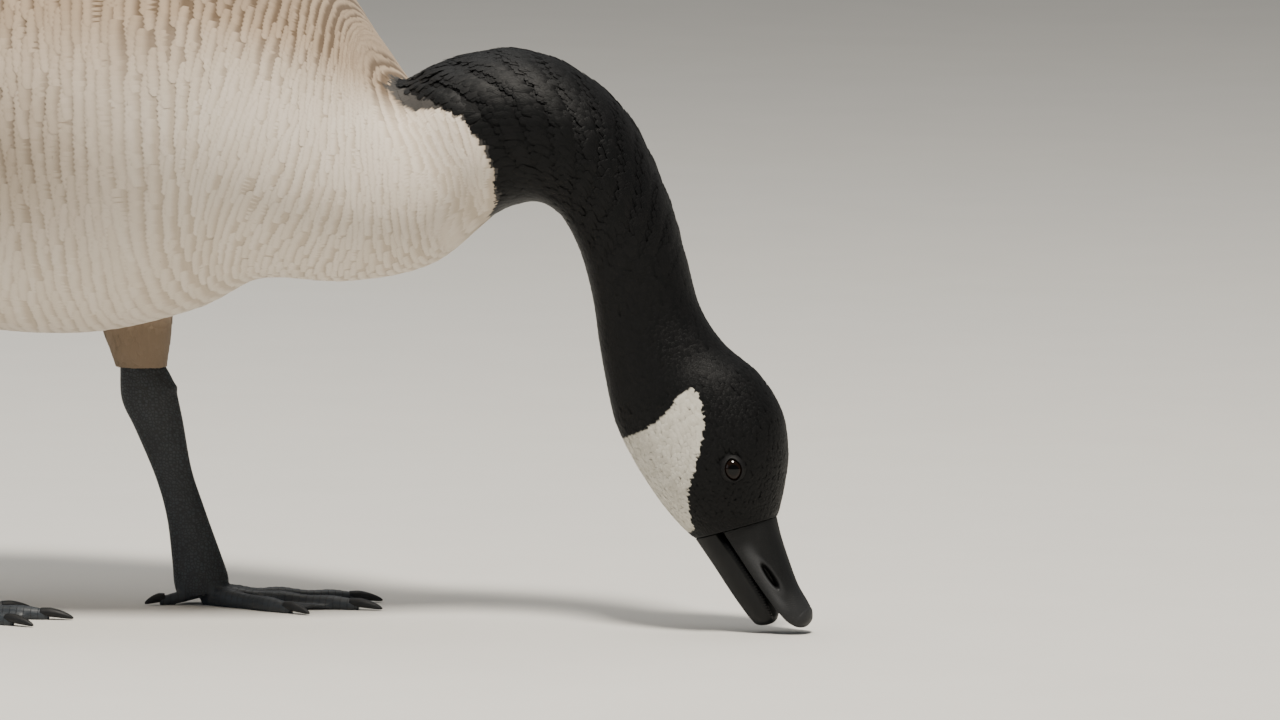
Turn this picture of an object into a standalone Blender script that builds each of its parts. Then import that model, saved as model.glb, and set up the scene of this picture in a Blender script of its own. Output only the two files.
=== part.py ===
"""A Canada goose bent down to graze, life size, as a museum would show it.

Units are metres, +Z is up, the goose faces +X and its own left side is +Y. The soles stand on z = 0.
Head, neck and torso are one long loft between an upper and a lower outline, parted by thin planar cuts.
Wings and tail are laid out on the same loft, so that every feather follows the body that carries it.
"""

from collections import namedtuple
import math

import bmesh
import bpy
from mathutils import Matrix, Vector
import numpy as np

# Driving sizes.
GAP = 0.0003  # the gap that touching parts keep
FORE_SHIFT = -0.0140  # brings the middle of the whole length over the origin
BODY_FULLNESS = 2.12  # 2 is an ellipse, more is squarer
EYE_RADIUS = 0.0062
EYE_SINK = 0.0040  # how far the middle of an eyeball lies under the cheek
LID_THICKNESS = 0.0012
EYE_OPENING = (0.0050, 0.0042)  # half length and half height of the slit between the lids
VANE_THICKNESS = 0.0009
MIDDLE_TOE = 0.072  # from the ankle to the root of the claw
CLAW = 0.011

# A section is a closed ring in the plane through its upper and lower point and across the body.
# waist says how far up the ring is widest.
Section = namedtuple("Section", "top_x top_z low_x low_z half_width waist")

# The whole body as one run of sections, from behind the tail's root to the margin of the bill.
# top is the back, then the nape's side of the neck, then the crown.
BODY = [
    # what the folded flight feathers lie on, behind the torso
    Section(-0.352, 0.262, -0.352, 0.238, 0.030, 0.50),
    Section(-0.290, 0.270, -0.290, 0.234, 0.036, 0.50),
    # torso, from the root of the tail to the root of the neck
    Section(-0.228, 0.271, -0.222, 0.236, 0.038, 0.50),
    Section(-0.185, 0.289, -0.185, 0.206, 0.056, 0.55),
    Section(-0.135, 0.306, -0.135, 0.170, 0.070, 0.55),
    Section(-0.075, 0.319, -0.075, 0.141, 0.081, 0.52),
    Section(-0.015, 0.326, -0.015, 0.127, 0.087, 0.50),
    Section(0.045, 0.325, 0.042, 0.125, 0.089, 0.50),
    Section(0.093, 0.317, 0.090, 0.136, 0.086, 0.49),
    Section(0.127, 0.304, 0.122, 0.151, 0.080, 0.48),
    Section(0.151, 0.288, 0.163, 0.151, 0.069, 0.47),
    Section(0.168, 0.267, 0.199, 0.159, 0.053, 0.47),
    Section(0.181, 0.244, 0.227, 0.181, 0.036, 0.50),
    # neck, from its root on the breast over the arch and down to the nape
    Section(0.207, 0.251, 0.240, 0.187, 0.033, 0.50),
    Section(0.235, 0.257, 0.250, 0.188, 0.030, 0.50),
    Section(0.263, 0.249, 0.258, 0.184, 0.028, 0.50),
    Section(0.288, 0.227, 0.263, 0.178, 0.026, 0.50),
    Section(0.306, 0.192, 0.269, 0.165, 0.0235, 0.50),
    Section(0.3145, 0.165, 0.274, 0.146, 0.0220, 0.50),
    Section(0.321, 0.143, 0.277, 0.125, 0.0215, 0.50),
    Section(0.332, 0.127, 0.280, 0.104, 0.0225, 0.50),
    # head, from the nape to the feathered margin of the bill
    Section(0.3480, 0.1140, 0.2835, 0.0905, 0.0245, 0.50),
    Section(0.3585, 0.0975, 0.2925, 0.0750, 0.0260, 0.48),
    Section(0.3622, 0.0800, 0.3030, 0.0595, 0.0258, 0.46),
    Section(0.3612, 0.0655, 0.3122, 0.0485, 0.0225, 0.45),
    Section(0.3568, 0.0515, 0.3200, 0.0410, 0.0168, 0.45),
]
TORSO_FROM, NECK_FROM, HEAD_FROM, BODY_END = 2, 12, 20, 25  # stations in BODY
NECK_CUTS = (14.7, 17.4)
EYE_STATION, EYE_ANGLE = 22.95, math.radians(24)

# Upper half of the bill. low is its cutting edge.
UPPER_BILL = [
    Section(0.3564, 0.05139, 0.3345, 0.04514, 0.0150, 0.24),
    Section(0.3588, 0.0425, 0.3425, 0.0345, 0.0138, 0.22),
    Section(0.3628, 0.0320, 0.3495, 0.0240, 0.0122, 0.22),
    Section(0.3674, 0.0215, 0.3562, 0.0150, 0.0110, 0.22),
    Section(0.3720, 0.0115, 0.3630, 0.0060, 0.0093, 0.25),
    Section(0.3724, 0.0045, 0.3680, 0.0020, 0.0052, 0.40),
]
NOSTRIL_AT, NOSTRIL_LEAN = (0.3566, 0.0112, 0.0262), math.radians(34)
NOSTRIL_LENGTH, NOSTRIL_WIDTH, NOSTRIL_DEPTH = 0.0140, 0.0034, 0.0080

# Lower half of the bill. top is its cutting edge.
LOWER_BILL = [
    Section(0.3322, 0.04448, 0.3203, 0.04109, 0.0128, 0.60),
    Section(0.3400, 0.0325, 0.3290, 0.0282, 0.0118, 0.66),
    Section(0.3468, 0.0215, 0.3362, 0.0170, 0.0104, 0.70),
    Section(0.3534, 0.0118, 0.3436, 0.0072, 0.0088, 0.70),
    Section(0.3574, 0.0050, 0.3490, 0.0020, 0.0056, 0.60),
]

# Legs. A joint is a point on the limb's middle line with its half depth fore and aft and half width.
Joint = namedtuple("Joint", "x y z half_depth half_width")
LEGS = {
    "left": dict(
        side=1,
        thigh=[
            Joint(0.040, 0.047, 0.180, 0.030, 0.024),
            Joint(0.046, 0.046, 0.150, 0.0245, 0.0205),
            Joint(0.053, 0.0435, 0.125, 0.0150, 0.0125),
            Joint(0.0560, 0.0422, 0.1055, 0.0097, 0.0082),
        ],
        shank=[
            Joint(0.0560, 0.0422, 0.1052, 0.0095, 0.0080),
            Joint(0.0590, 0.0414, 0.0940, 0.0124, 0.0086),
            Joint(0.0630, 0.0408, 0.0810, 0.0112, 0.0070),
            Joint(0.0700, 0.0402, 0.0580, 0.0083, 0.0053),
            Joint(0.0755, 0.0396, 0.0400, 0.0084, 0.0054),
            Joint(0.0805, 0.0390, 0.0200, 0.0100, 0.0068),
            Joint(0.0825, 0.0387, 0.0105, 0.0108, 0.0080),
        ],
        ankle=(0.0838, 0.0385),
        heading=math.radians(-3),
    ),
    "right": dict(
        side=-1,
        thigh=[
            Joint(-0.010, -0.047, 0.185, 0.030, 0.024),
            Joint(-0.020, -0.046, 0.155, 0.0245, 0.0205),
            Joint(-0.034, -0.0435, 0.128, 0.0150, 0.0125),
            Joint(-0.0430, -0.0422, 0.1085, 0.0097, 0.0082),
        ],
        shank=[
            Joint(-0.0430, -0.0422, 0.1082, 0.0095, 0.0080),
            Joint(-0.0465, -0.0414, 0.0965, 0.0124, 0.0086),
            Joint(-0.0460, -0.0408, 0.0830, 0.0112, 0.0070),
            Joint(-0.0440, -0.0402, 0.0600, 0.0083, 0.0053),
            Joint(-0.0425, -0.0396, 0.0410, 0.0084, 0.0054),
            Joint(-0.0410, -0.0390, 0.0205, 0.0100, 0.0068),
            Joint(-0.0400, -0.0387, 0.0105, 0.0108, 0.0080),
        ],
        ankle=(-0.0387, -0.0385),
        heading=math.radians(2),
    ),
}

# Feet. A toe turns outward from the middle toe; its length runs from the ankle to the claw's root.
Toe = namedtuple("Toe", "turn length half_width joints")
TOES = [
    Toe(math.radians(-25), 0.053, 0.0046, 2),
    Toe(math.radians(0), MIDDLE_TOE, 0.0052, 3),
    Toe(math.radians(23), 0.068, 0.0046, 3),
]
TOE_HEIGHT, SOLE_LEVEL = 0.0088, 0.42
WEB_TOP, WEB_THICKNESS, WEB_REACH, WEB_HOLLOW = 0.0032, 0.0018, 0.95, 0.17
WEB_INSET = math.radians(0.8)
CLAW_TURN = math.radians(2.5)  # claws lean inwards a little
HIND_TOE, HIND_TOE_TURN, HIND_TOE_RISE = 0.021, math.radians(28), 0.0045

# Tail.
TAIL_ROOT = [
    Section(-0.282, 0.2580, -0.278, 0.2465, 0.034, 0.50),
    Section(-0.255, 0.2645, -0.250, 0.2400, 0.037, 0.50),
    Section(-0.228, 0.2710, -0.222, 0.2360, 0.038, 0.50),
]
TAIL_PAIRS, TAIL_LENGTH, TAIL_SPREAD, TAIL_ROUNDING = 7, 0.108, math.radians(11.5), 0.014
TAIL_FROM, TAIL_LEVEL, TAIL_DROP = -0.2365, 0.2590, math.radians(7.5)
TAIL_ROOT_STEP, TAIL_FEATHER_HALF_WIDTH, TAIL_STEP = 0.0040, 0.0130, 0.0017

TORSO_ROWS, TORSO_COLUMNS = 27, 28

# Folded arm under its coverts: a place along the body, the lowest and highest angle in degrees
# there, and the thickness.
ARM_OUTLINE = [
    (-0.150, 30, 70, 0.0030),
    (-0.120, 8, 76, 0.0040),
    (-0.060, -4, 79, 0.0050),
    (0.000, -6, 80, 0.0055),
    (0.060, -3, 78, 0.0060),
    (0.100, 3, 72, 0.0060),
    (0.125, 13, 58, 0.0050),
    (0.137, 25, 44, 0.0040),
]
ARM_ROWS, WING_CLEARANCE = 18, 0.0012
VANE_TILT = 0.0022  # how far the lower edge of a feather stands out over the next one down
# A tier of feathers runs up the wing. Each pair is for its lowest and its highest feather: where
# root and tip lie along the body, their angles on it in degrees, and how far out the tip lies.
Tier = namedtuple(
    "Tier", "count root_x tip_x root_angle tip_angle tip_rise root_rise half_width parts")
PRIMARIES = Tier(
    5, (-0.085, -0.085), (-0.338, -0.262), (14, 40), (18, 52), (0.0022, 0.0056), 0.0040, 0.0080, 7)
SECONDARIES = Tier(
    5, (0.010, -0.060), (-0.080, -0.176), (0, 22), (-6, 16), (0.0040, 0.0046), 0.0040, 0.0115, 5)
TERTIALS = Tier(
    3, (-0.020, -0.040), (-0.190, -0.228), (36, 62), (28, 68), (0.0076, 0.0080), 0.0048, 0.0180, 6)
GREATER_COVERTS = Tier(
    7, (0.075, -0.040), (0.010, -0.105), (2, 42), (-4, 38), (0.0078, 0.0086), 0.0050, 0.0115, 5)
MEDIAN_COVERTS = Tier(
    6, (0.100, 0.020), (0.052, -0.036), (8, 50), (1, 46), (0.0100, 0.0106), 0.0050, 0.0118, 4)
LESSER_COVERTS = Tier(
    5, (0.122, 0.070), (0.082, 0.022), (18, 54), (9, 50), (0.0112, 0.0116), 0.0036, 0.0115, 4)
LONG_SCAPULARS = Tier(
    2, (0.035, 0.020), (-0.062, -0.096), (60, 72), (60, 73), (0.0108, 0.0110), 0.0034, 0.0155, 5)
SCAPULARS = Tier(
    2, (0.100, 0.090), (0.018, 0.000), (58, 69), (62, 73), (0.0118, 0.0120), 0.0024, 0.0150, 5)
WING_TIERS = [PRIMARIES, SECONDARIES, TERTIALS, GREATER_COVERTS, MEDIAN_COVERTS, LESSER_COVERTS,
              LONG_SCAPULARS, SCAPULARS]

COLOURS = {
    "breast": ((0.62, 0.56, 0.48), 0.85),
    "black_plumage": ((0.012, 0.012, 0.013), 0.70),
    "wing": ((0.17, 0.12, 0.085), 0.75),
    "tail": ((0.02, 0.018, 0.018), 0.65),
    "bill": ((0.02, 0.021, 0.023), 0.45),
    "leg_skin": ((0.03, 0.033, 0.038), 0.55),
    "thigh": ((0.42, 0.36, 0.29), 0.85),
    "eye": ((0.015, 0.009, 0.006), 0.08),
}


def clear_scene():
    for thing in list(bpy.data.objects):
        bpy.data.objects.remove(thing)


def material(name):
    """The Principled material of one of the COLOURS, made once."""
    made = bpy.data.materials.get(name)
    if made:
        return made
    colour, roughness = COLOURS[name]
    made = bpy.data.materials.new(name)
    made.use_nodes = True
    shader = made.node_tree.nodes["Principled BSDF"]
    shader.inputs["Base Color"].default_value = (*colour, 1.0)
    shader.inputs["Roughness"].default_value = roughness
    shader.inputs["Metallic"].default_value = 0.0
    return made


def eased(rows, at):
    """The row at a fractional place in a table, on a Catmull-Rom curve through its rows."""
    rows = np.array(rows, float)
    rows = np.vstack([2 * rows[0] - rows[1], rows, 2 * rows[-1] - rows[-2]])
    at = np.clip(np.asarray(at, float), 0, len(rows) - 3)
    whole = np.minimum(at.astype(int), len(rows) - 4)
    part = (at - whole)[..., None]
    a, b, c, d = (rows[whole + step] for step in range(4))
    return b + 0.5 * part * (c - a + part * (2 * a - 5 * b + 4 * c - d + part * (3 * (b - c) + d - a)))


def ring_points(sections, station, angle, fullness):
    """Points of the loft: angle 0 is the left side, a quarter turn is the top."""
    row = eased(sections, station)
    top, low = row[..., 0:2], row[..., 2:4]
    half_width, waist = row[..., 4], row[..., 5]
    middle = low + (top - low) * waist[..., None]
    up, across = np.sin(angle), np.cos(angle)
    power = 2 / fullness
    reach = np.where((up > 0)[..., None], top - middle, middle - low)
    profile = middle + reach * (np.sign(up) * np.abs(up) ** power)[..., None]
    width = half_width * np.sign(across) * np.abs(across) ** power
    return np.stack([profile[..., 0], width, profile[..., 1]], axis=-1)


def on_loft(sections, station, angle, height=0.0, fullness=BODY_FULLNESS):
    """Points at a height above the loft's surface, along its own normal."""
    station, angle = np.broadcast_arrays(np.asarray(station, float), np.asarray(angle, float))
    step = 1e-3
    point = ring_points(sections, station, angle, fullness)
    along = ring_points(sections, station + step, angle, fullness)
    along = along - ring_points(sections, station - step, angle, fullness)
    around = ring_points(sections, station, angle + step, fullness)
    around = around - ring_points(sections, station, angle - step, fullness)
    normal = np.cross(around, along)
    normal /= np.linalg.norm(normal, axis=-1, keepdims=True)
    return point + normal * np.asarray(height, float)[..., None]


def plane_normal(section):
    """The direction along the body that a section's plane faces."""
    rise = Vector((section.top_x - section.low_x, 0, section.top_z - section.low_z)).normalized()
    return np.array(Vector((0, 1, 0)).cross(rise))


def station_at(sections, x):
    """The station whose ring has its middle at x."""
    middles = [(row.top_x + row.low_x) / 2 for row in sections]
    return np.interp(x, middles, range(len(sections)))


def add_mesh(name, points, faces, look):
    """An object from points and faces, with its faces turned outwards."""
    mesh = bpy.data.meshes.new(name)
    mesh.from_pydata([tuple(p) for p in points], [], faces)
    work = bmesh.new()
    work.from_mesh(mesh)
    bmesh.ops.recalc_face_normals(work, faces=work.faces)
    work.to_mesh(mesh)
    work.free()
    mesh.materials.append(material(look))
    made = bpy.data.objects.new(name, mesh)
    bpy.context.scene.collection.objects.link(made)
    return made


def closed_tube(name, grid, look):
    """A closed solid from a grid of rings, with a flat cap on each end."""
    rows, columns = grid.shape[:2]
    faces = []
    for row in range(rows - 1):
        for column in range(columns):
            after = (column + 1) % columns
            first, second = row * columns, (row + 1) * columns
            faces.append((first + column, first + after, second + after, second + column))
    faces.append(tuple(range(columns)))
    faces.append(tuple(range((rows - 1) * columns, rows * columns)))
    return add_mesh(name, grid.reshape(-1, 3), faces, look)


def plate(name, under, over, look):
    """A thin closed shell between two grids of points, its triangles alike on both faces."""
    rows, columns = under.shape[:2]
    low = np.arange(rows * columns).reshape(rows, columns)
    high = low + rows * columns
    faces = []
    for sheet in (low, high):
        for row in range(rows - 1):
            for column in range(columns - 1):
                a, b = sheet[row, column], sheet[row, column + 1]
                c, d = sheet[row + 1, column + 1], sheet[row + 1, column]
                faces += [(a, b, c), (a, c, d)]
    rim = [*low[0, :-1], *low[:-1, -1], *low[-1, :0:-1], *low[:0:-1, 0]]
    for a, b in zip(rim, rim[1:] + rim[:1]):
        c, d = b + rows * columns, a + rows * columns
        faces += [(a, b, c), (a, c, d)]
    return add_mesh(name, np.concatenate([under, over]).reshape(-1, 3), faces, look)


def loft(name, sections, first, last, rows, columns, look, fullness=BODY_FULLNESS, trim=(0.0, 0.0)):
    """The loft between two stations. trim moves each end plane along the body, to leave a gap."""
    stations = np.linspace(first, last, rows)[:, None]
    angles = np.linspace(0, 2 * math.pi, columns, endpoint=False)[None, :]
    grid = ring_points(sections, *np.broadcast_arrays(stations, angles), fullness)
    for row, station, move in ((0, first, trim[0]), (-1, last, trim[1])):
        grid[row] += plane_normal(Section(*eased(sections, station))) * move
    return closed_tube(name, grid, look)


def limb(name, joints, rows, columns, look):
    """A round limb through its joints, its rings square to its middle line."""
    places = np.linspace(0, len(joints) - 1, rows)
    line = eased(joints, places)
    tangent = np.gradient(line[:, :3], axis=0)
    tangent /= np.linalg.norm(tangent, axis=1, keepdims=True)
    across = np.array([0.0, 1.0, 0.0]) - tangent * tangent[:, 1:2]
    across /= np.linalg.norm(across, axis=1, keepdims=True)
    fore = np.cross(across, tangent)
    turn = np.linspace(0, 2 * math.pi, columns, endpoint=False)
    grid = line[:, None, :3] + fore[:, None] * (line[:, 3:4] * np.cos(turn))[..., None]
    grid = grid + across[:, None] * (line[:, 4:5] * np.sin(turn))[..., None]
    grid[0, :, 2], grid[-1, :, 2] = joints[0].z, joints[-1].z
    return closed_tube(name, grid, look)


def block(name, low, high):
    """A plain box between two corners, used as a cutter."""
    ring = [(low[1], low[2]), (high[1], low[2]), (high[1], high[2]), (low[1], high[2])]
    grid = np.array([[(x, y, z) for y, z in ring] for x in (low[0], high[0])])
    return closed_tube(name, grid, "leg_skin")


def apply_boolean(target, operation, solver="EXACT", thing=None, group=None):
    """Adds one Boolean to an object and applies it."""
    modifier = target.modifiers.new("join_or_cut", "BOOLEAN")
    modifier.operation = operation
    modifier.solver = solver
    if group:
        modifier.operand_type = "COLLECTION"
        modifier.collection = group
    else:
        modifier.object = thing
    bpy.context.view_layer.update()
    shape = target.evaluated_get(bpy.context.evaluated_depsgraph_get())
    result = bpy.data.meshes.new_from_object(shape)
    target.modifiers.clear()
    target.data = result


def keep_largest(thing):
    """Drops every closed surface of a mesh but the largest."""
    work = bmesh.new()
    work.from_mesh(thing.data)
    left, groups = set(work.faces), []
    while left:
        stack, group = [left.pop()], []
        while stack:
            face = stack.pop()
            group.append(face)
            for edge in face.edges:
                for other in edge.link_faces:
                    if other in left:
                        left.discard(other)
                        stack.append(other)
        groups.append(group)
    groups.sort(key=lambda group: sum(face.calc_area() for face in group))
    loose = [face for group in groups[:-1] for face in group]
    bmesh.ops.delete(work, geom=loose, context="FACES")
    work.to_mesh(thing.data)
    work.free()


def split(thing):
    """Splits an object's faces into triangles, so that a union cuts flat faces only."""
    work = bmesh.new()
    work.from_mesh(thing.data)
    bmesh.ops.triangulate(work, faces=work.faces)
    work.to_mesh(thing.data)
    work.free()


def fuse(name, pieces, solver="EXACT"):
    """Joins closed pieces into the first of them, which takes the name, and removes the rest."""
    first, rest = pieces[0], pieces[1:]
    first.name = name
    split(first)
    group = bpy.data.collections.new(name + "_pieces")
    for piece in rest:
        group.objects.link(piece)
    apply_boolean(first, "UNION", solver, group=group)
    for piece in rest:
        bpy.data.objects.remove(piece)
    bpy.data.collections.remove(group)
    keep_largest(first)
    return first


def cut(target, cutter):
    """Takes a cutter's shape out of an object, and removes the cutter."""
    cutter.hide_render = True
    cutter.display_type = "WIRE"
    apply_boolean(target, "DIFFERENCE", thing=cutter)
    bpy.data.objects.remove(cutter)
    keep_largest(target)


def make_torso():
    return loft("torso", BODY, TORSO_FROM, NECK_FROM, TORSO_ROWS, TORSO_COLUMNS, "breast")


def body_cutter():
    """The torso grown by the gap, to cut the thighs that grow from it."""
    stations = np.linspace(TORSO_FROM, NECK_FROM, TORSO_ROWS)[:, None]
    angles = np.linspace(0, 2 * math.pi, TORSO_COLUMNS, endpoint=False)[None, :]
    return closed_tube("body_cutter", on_loft(BODY, stations, angles, np.float64(GAP)), "breast")


def make_neck():
    """Three lengths of neck, each parted from the next by the gap."""
    ends = (NECK_FROM, *NECK_CUTS, HEAD_FROM)
    for name, start, end in zip(("neck_base", "neck_arch", "neck_upper"), ends, ends[1:]):
        loft(name, BODY, start, end, 9, 22, "black_plumage", trim=(GAP, 0.0))


def ball(name, centre, radius, look, segments=20, rings=12):
    mesh = bpy.data.meshes.new(name)
    work = bmesh.new()
    bmesh.ops.create_uvsphere(work, u_segments=segments, v_segments=rings, radius=radius)
    work.to_mesh(mesh)
    work.free()
    mesh.materials.append(material(look))
    made = bpy.data.objects.new(name, mesh)
    bpy.context.scene.collection.objects.link(made)
    mesh.transform(Matrix.Translation(centre))
    return made


def eye_frame(side):
    """An eye's own axes: x along the face to the bill, z the way that the eye looks."""
    angle = EYE_ANGLE if side > 0 else math.pi - EYE_ANGLE
    surface = Vector(on_loft(BODY, EYE_STATION, angle))
    look = Vector(on_loft(BODY, EYE_STATION, angle, 1.0)) - surface
    along = Vector(on_loft(BODY, EYE_STATION + 0.1, angle)) - surface
    along = (along - look * along.dot(look)).normalized()
    axes = Matrix((along, look.cross(along), look)).transposed().to_4x4()
    return Matrix.Translation(surface - look * EYE_SINK) @ axes


def make_head():
    """The feathered head, with lids round each eye and a slit between them."""
    head = loft("head", BODY, HEAD_FROM, BODY_END, 15, 26, "black_plumage", trim=(GAP, 0.0))
    turn = np.linspace(0, 2 * math.pi, 12, endpoint=False)
    for side in (1, -1):
        place = eye_frame(side)
        centre = place.translation
        lids = ball("lids", centre, EYE_RADIUS + GAP + LID_THICKNESS, "black_plumage", 14, 8)
        apply_boolean(head, "UNION", thing=lids)
        bpy.data.objects.remove(lids)
        slit = np.array([
            [place @ Vector((EYE_OPENING[0] * math.cos(a), EYE_OPENING[1] * math.sin(a), z)) for a in turn]
            for z in (0.6 * EYE_RADIUS, 2.0 * EYE_RADIUS)
        ])
        cut(head, closed_tube("slit", slit, "black_plumage"))
        cut(head, ball("socket", centre, EYE_RADIUS + GAP, "black_plumage", 14, 8))
    return head


def make_eyes():
    for name, side in (("eye_left", 1), ("eye_right", -1)):
        ball(name, eye_frame(side).translation, EYE_RADIUS, "eye", 14, 8)


def make_bill():
    """The two halves of the bill, with a nostril slot in each flank of the upper one."""
    upper = loft("bill_upper", UPPER_BILL, 0, len(UPPER_BILL) - 1, 14, 20, "bill", 2.3, (GAP, 0.0))
    loft("bill_lower", LOWER_BILL, 0, len(LOWER_BILL) - 1, 10, 16, "bill", 2.2, (GAP, 0.0))
    for side in (1, -1):
        slot = ball("nostril", (0, 0, 0), 0.5, "bill", 12, 8)
        slot.data.transform(Matrix.Diagonal((NOSTRIL_WIDTH, NOSTRIL_DEPTH, NOSTRIL_LENGTH, 1)))
        slot.data.transform(Matrix.Rotation(-NOSTRIL_LEAN, 4, "Y"))
        slot.data.transform(Matrix.Translation((NOSTRIL_AT[0], side * NOSTRIL_AT[1], NOSTRIL_AT[2])))
        cut(upper, slot)


def make_thigh(name, leg):
    """The feathered part of a leg that shows, cut by the belly that it comes out of."""
    thigh = limb("thigh_" + name, leg["thigh"], 9, 16, "thigh")
    cut(thigh, body_cutter())
    return thigh


def low_tube(name, line, half_widths, heights, columns, look):
    """A toe along points on the floor: a round tube that dips under the floor, to be cut level."""
    line = np.asarray(line, float)
    tangent = np.gradient(line, axis=0)
    tangent[:, 2] = 0
    tangent /= np.linalg.norm(tangent, axis=1, keepdims=True)
    across = np.stack([-tangent[:, 1], tangent[:, 0], np.zeros(len(line))], axis=1)
    turn = np.linspace(0, 2 * math.pi, columns, endpoint=False)
    grid = line[:, None] + across[:, None] * (np.asarray(half_widths)[:, None] * np.cos(turn))[..., None]
    rise = np.asarray(heights)[:, None] * (SOLE_LEVEL + (1 - SOLE_LEVEL) * np.sin(turn))
    grid[..., 2] = line[:, 2:3] + rise
    return closed_tube(name, grid, look)


def toe_line(toe, share):
    """A place on a toe's middle line, in the foot's own frame; share runs from ankle to claw root."""
    reach = toe.length * np.asarray(share, float)
    return np.stack([reach * math.cos(toe.turn), reach * math.sin(toe.turn), 0 * reach], axis=-1)


def make_toe(toe):
    share = np.linspace(0.0, 1.0, 7)
    pads = 1 + 0.13 * np.cos(2 * math.pi * (share * toe.joints + 0.5))
    widths = (toe.half_width * (1 - 0.42 * share)) * pads
    heights = TOE_HEIGHT * (1 - 0.45 * share) * (0.5 + 0.5 * pads)
    return low_tube("toe", toe_line(toe, share), widths, heights, 8, "leg_skin")


def make_claw(start, way, length, half_width, height):
    """A claw: a tapered tube from inside the toe that curves down to the floor."""
    share = np.linspace(-0.35, 1.0, 5)
    line = np.asarray(start) + np.outer(share * length, way)
    taper = 1 - 0.85 * np.clip(share, 0, 1) ** 1.3
    return low_tube("claw", line, half_width * taper, height * taper, 6, "leg_skin")


def make_web(first, second):
    """The skin between two toes, a slab whose front edge curves back between the claws."""
    across = np.linspace(0, 1, 6)
    turns = first.turn + WEB_INSET + (second.turn - first.turn - 2 * WEB_INSET) * across
    reach = first.length + (second.length - first.length) * across
    reach = reach * (WEB_REACH - WEB_HOLLOW * np.sin(math.pi * across))
    along = np.array([0.08, 0.7, 1.0])
    way = np.stack([np.cos(turns), np.sin(turns), 0 * turns], axis=-1)
    top = way[:, None] * (reach[:, None] * along)[..., None] + (0, 0, WEB_TOP)
    return plate("web", top - (0, 0, WEB_THICKNESS), top, "leg_skin")


def make_foot(name, leg):
    """A webbed foot: hub, three front toes, two webs, hind toe and claws, fused into one."""
    side = leg["side"]
    inner, middle, outer = TOES
    bottom = leg["shank"][-1]
    hub_levels = [(-0.25, 0.90), (0.45, 1.06), (1.0, 1.0)]
    turn = np.linspace(0, 2 * math.pi, 12, endpoint=False) + 0.1
    hub = np.array([
        [(bottom.half_depth * wide * math.cos(a), bottom.half_width * wide * math.sin(a),
          level * (bottom.z - GAP)) for a in turn]
        for level, wide in hub_levels
    ])
    pieces = [closed_tube("hub", hub, "leg_skin")]
    for toe in TOES:
        pieces.append(make_toe(toe))
        lean = toe.turn - CLAW_TURN
        way = np.array([math.cos(lean), math.sin(lean), 0.0])
        pieces.append(make_claw(toe_line(toe, 1.0), way, CLAW, toe.half_width * 0.46, TOE_HEIGHT * 0.46))
    pieces.append(make_web(inner, middle))
    pieces.append(make_web(middle, outer))
    way = np.array([-math.cos(HIND_TOE_TURN), -math.sin(HIND_TOE_TURN), 0.0])
    share = np.linspace(0, 1, 5)
    line = np.outer(share * HIND_TOE, way)
    line[:, 2] = HIND_TOE_RISE * (1 - share) ** 1.4
    pieces.append(low_tube("hind_toe", line, 0.0031 - 0.0010 * share, 0.0056 - 0.0018 * share, 8,
                           "leg_skin"))
    way = np.array([-math.cos(HIND_TOE_TURN + CLAW_TURN), -math.sin(HIND_TOE_TURN + CLAW_TURN), 0.0])
    pieces.append(make_claw(line[-1], way, 0.6 * CLAW, 0.0019, 0.0034))
    foot = fuse("foot_" + name, pieces)
    cut(foot, block("floor", (-0.1, -0.1, -0.02), (0.15, 0.1, 0.0)))
    place = Matrix.Translation((*leg["ankle"], 0)) @ Matrix.Rotation(leg["heading"], 4, "Z")
    if side < 0:
        place = place @ Matrix.Scale(-1, 4, (0, 1, 0))
    foot.data.transform(place)
    if side < 0:
        foot.data.flip_normals()
    return foot


def make_leg(name, leg):
    make_thigh(name, leg)
    limb("shank_" + name, leg["shank"], 15, 14, "leg_skin")
    make_foot(name, leg)


def vane_shape(share):
    """Half width of a vane against its own widest, from root to rounded tip."""
    return np.interp(share, [0, 0.25, 0.6, 0.85, 0.95, 1.0], [0.50, 0.82, 1.0, 0.88, 0.60, 0.22])


def vane(lower, ridge, upper, underside, look):
    """A feather as a thin closed blade of four lines of points, its triangles alike on both faces."""
    faces = [(0, 1, 2), (0, 2, 3)]
    for first in range(0, 4 * len(lower) - 4, 4):
        after = first + 4
        for edge in (0, 2):
            for middle in (1, 3):
                faces += [(first + edge, first + middle, after + middle)]
                faces += [(first + edge, after + middle, after + edge)]
    faces += [(after, after + 1, after + 2), (after, after + 2, after + 3)]
    points = np.stack([lower, ridge, upper, underside], axis=1).reshape(-1, 3)
    return add_mesh("vane", points, faces, look)


def make_tail():
    """The root of the tail under its coverts, with the tail feathers fanned out of it."""
    core = loft("tail_core", TAIL_ROOT, 0, len(TAIL_ROOT) - 1, 7, 24, "tail", trim=(0.0, -GAP))
    pieces = [core]
    share = np.array([0.0, 0.40, 0.65, 0.85, 0.95, 1.0])
    for number in range(-TAIL_PAIRS, TAIL_PAIRS + 1):
        turn = number / TAIL_PAIRS * TAIL_SPREAD
        reach = share * (TAIL_LENGTH - TAIL_ROUNDING * (number / TAIL_PAIRS) ** 2)
        x = TAIL_FROM - reach * math.cos(turn)
        y = number * TAIL_ROOT_STEP + reach * math.sin(turn)
        z = TAIL_LEVEL - reach * math.tan(TAIL_DROP) - abs(number) * TAIL_STEP
        middle = np.stack([x, y, z], axis=1)
        across = np.array([math.sin(turn), math.cos(turn), 0.0])
        spread = across * (TAIL_FEATHER_HALF_WIDTH * vane_shape(share))[:, None]
        thick = np.array([0.0, 0.0, VANE_THICKNESS / 2])
        pieces.append(vane(middle - spread, middle + thick, middle + spread, middle - thick, "tail"))
    return fuse("tail", pieces, "MANIFOLD")


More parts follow.
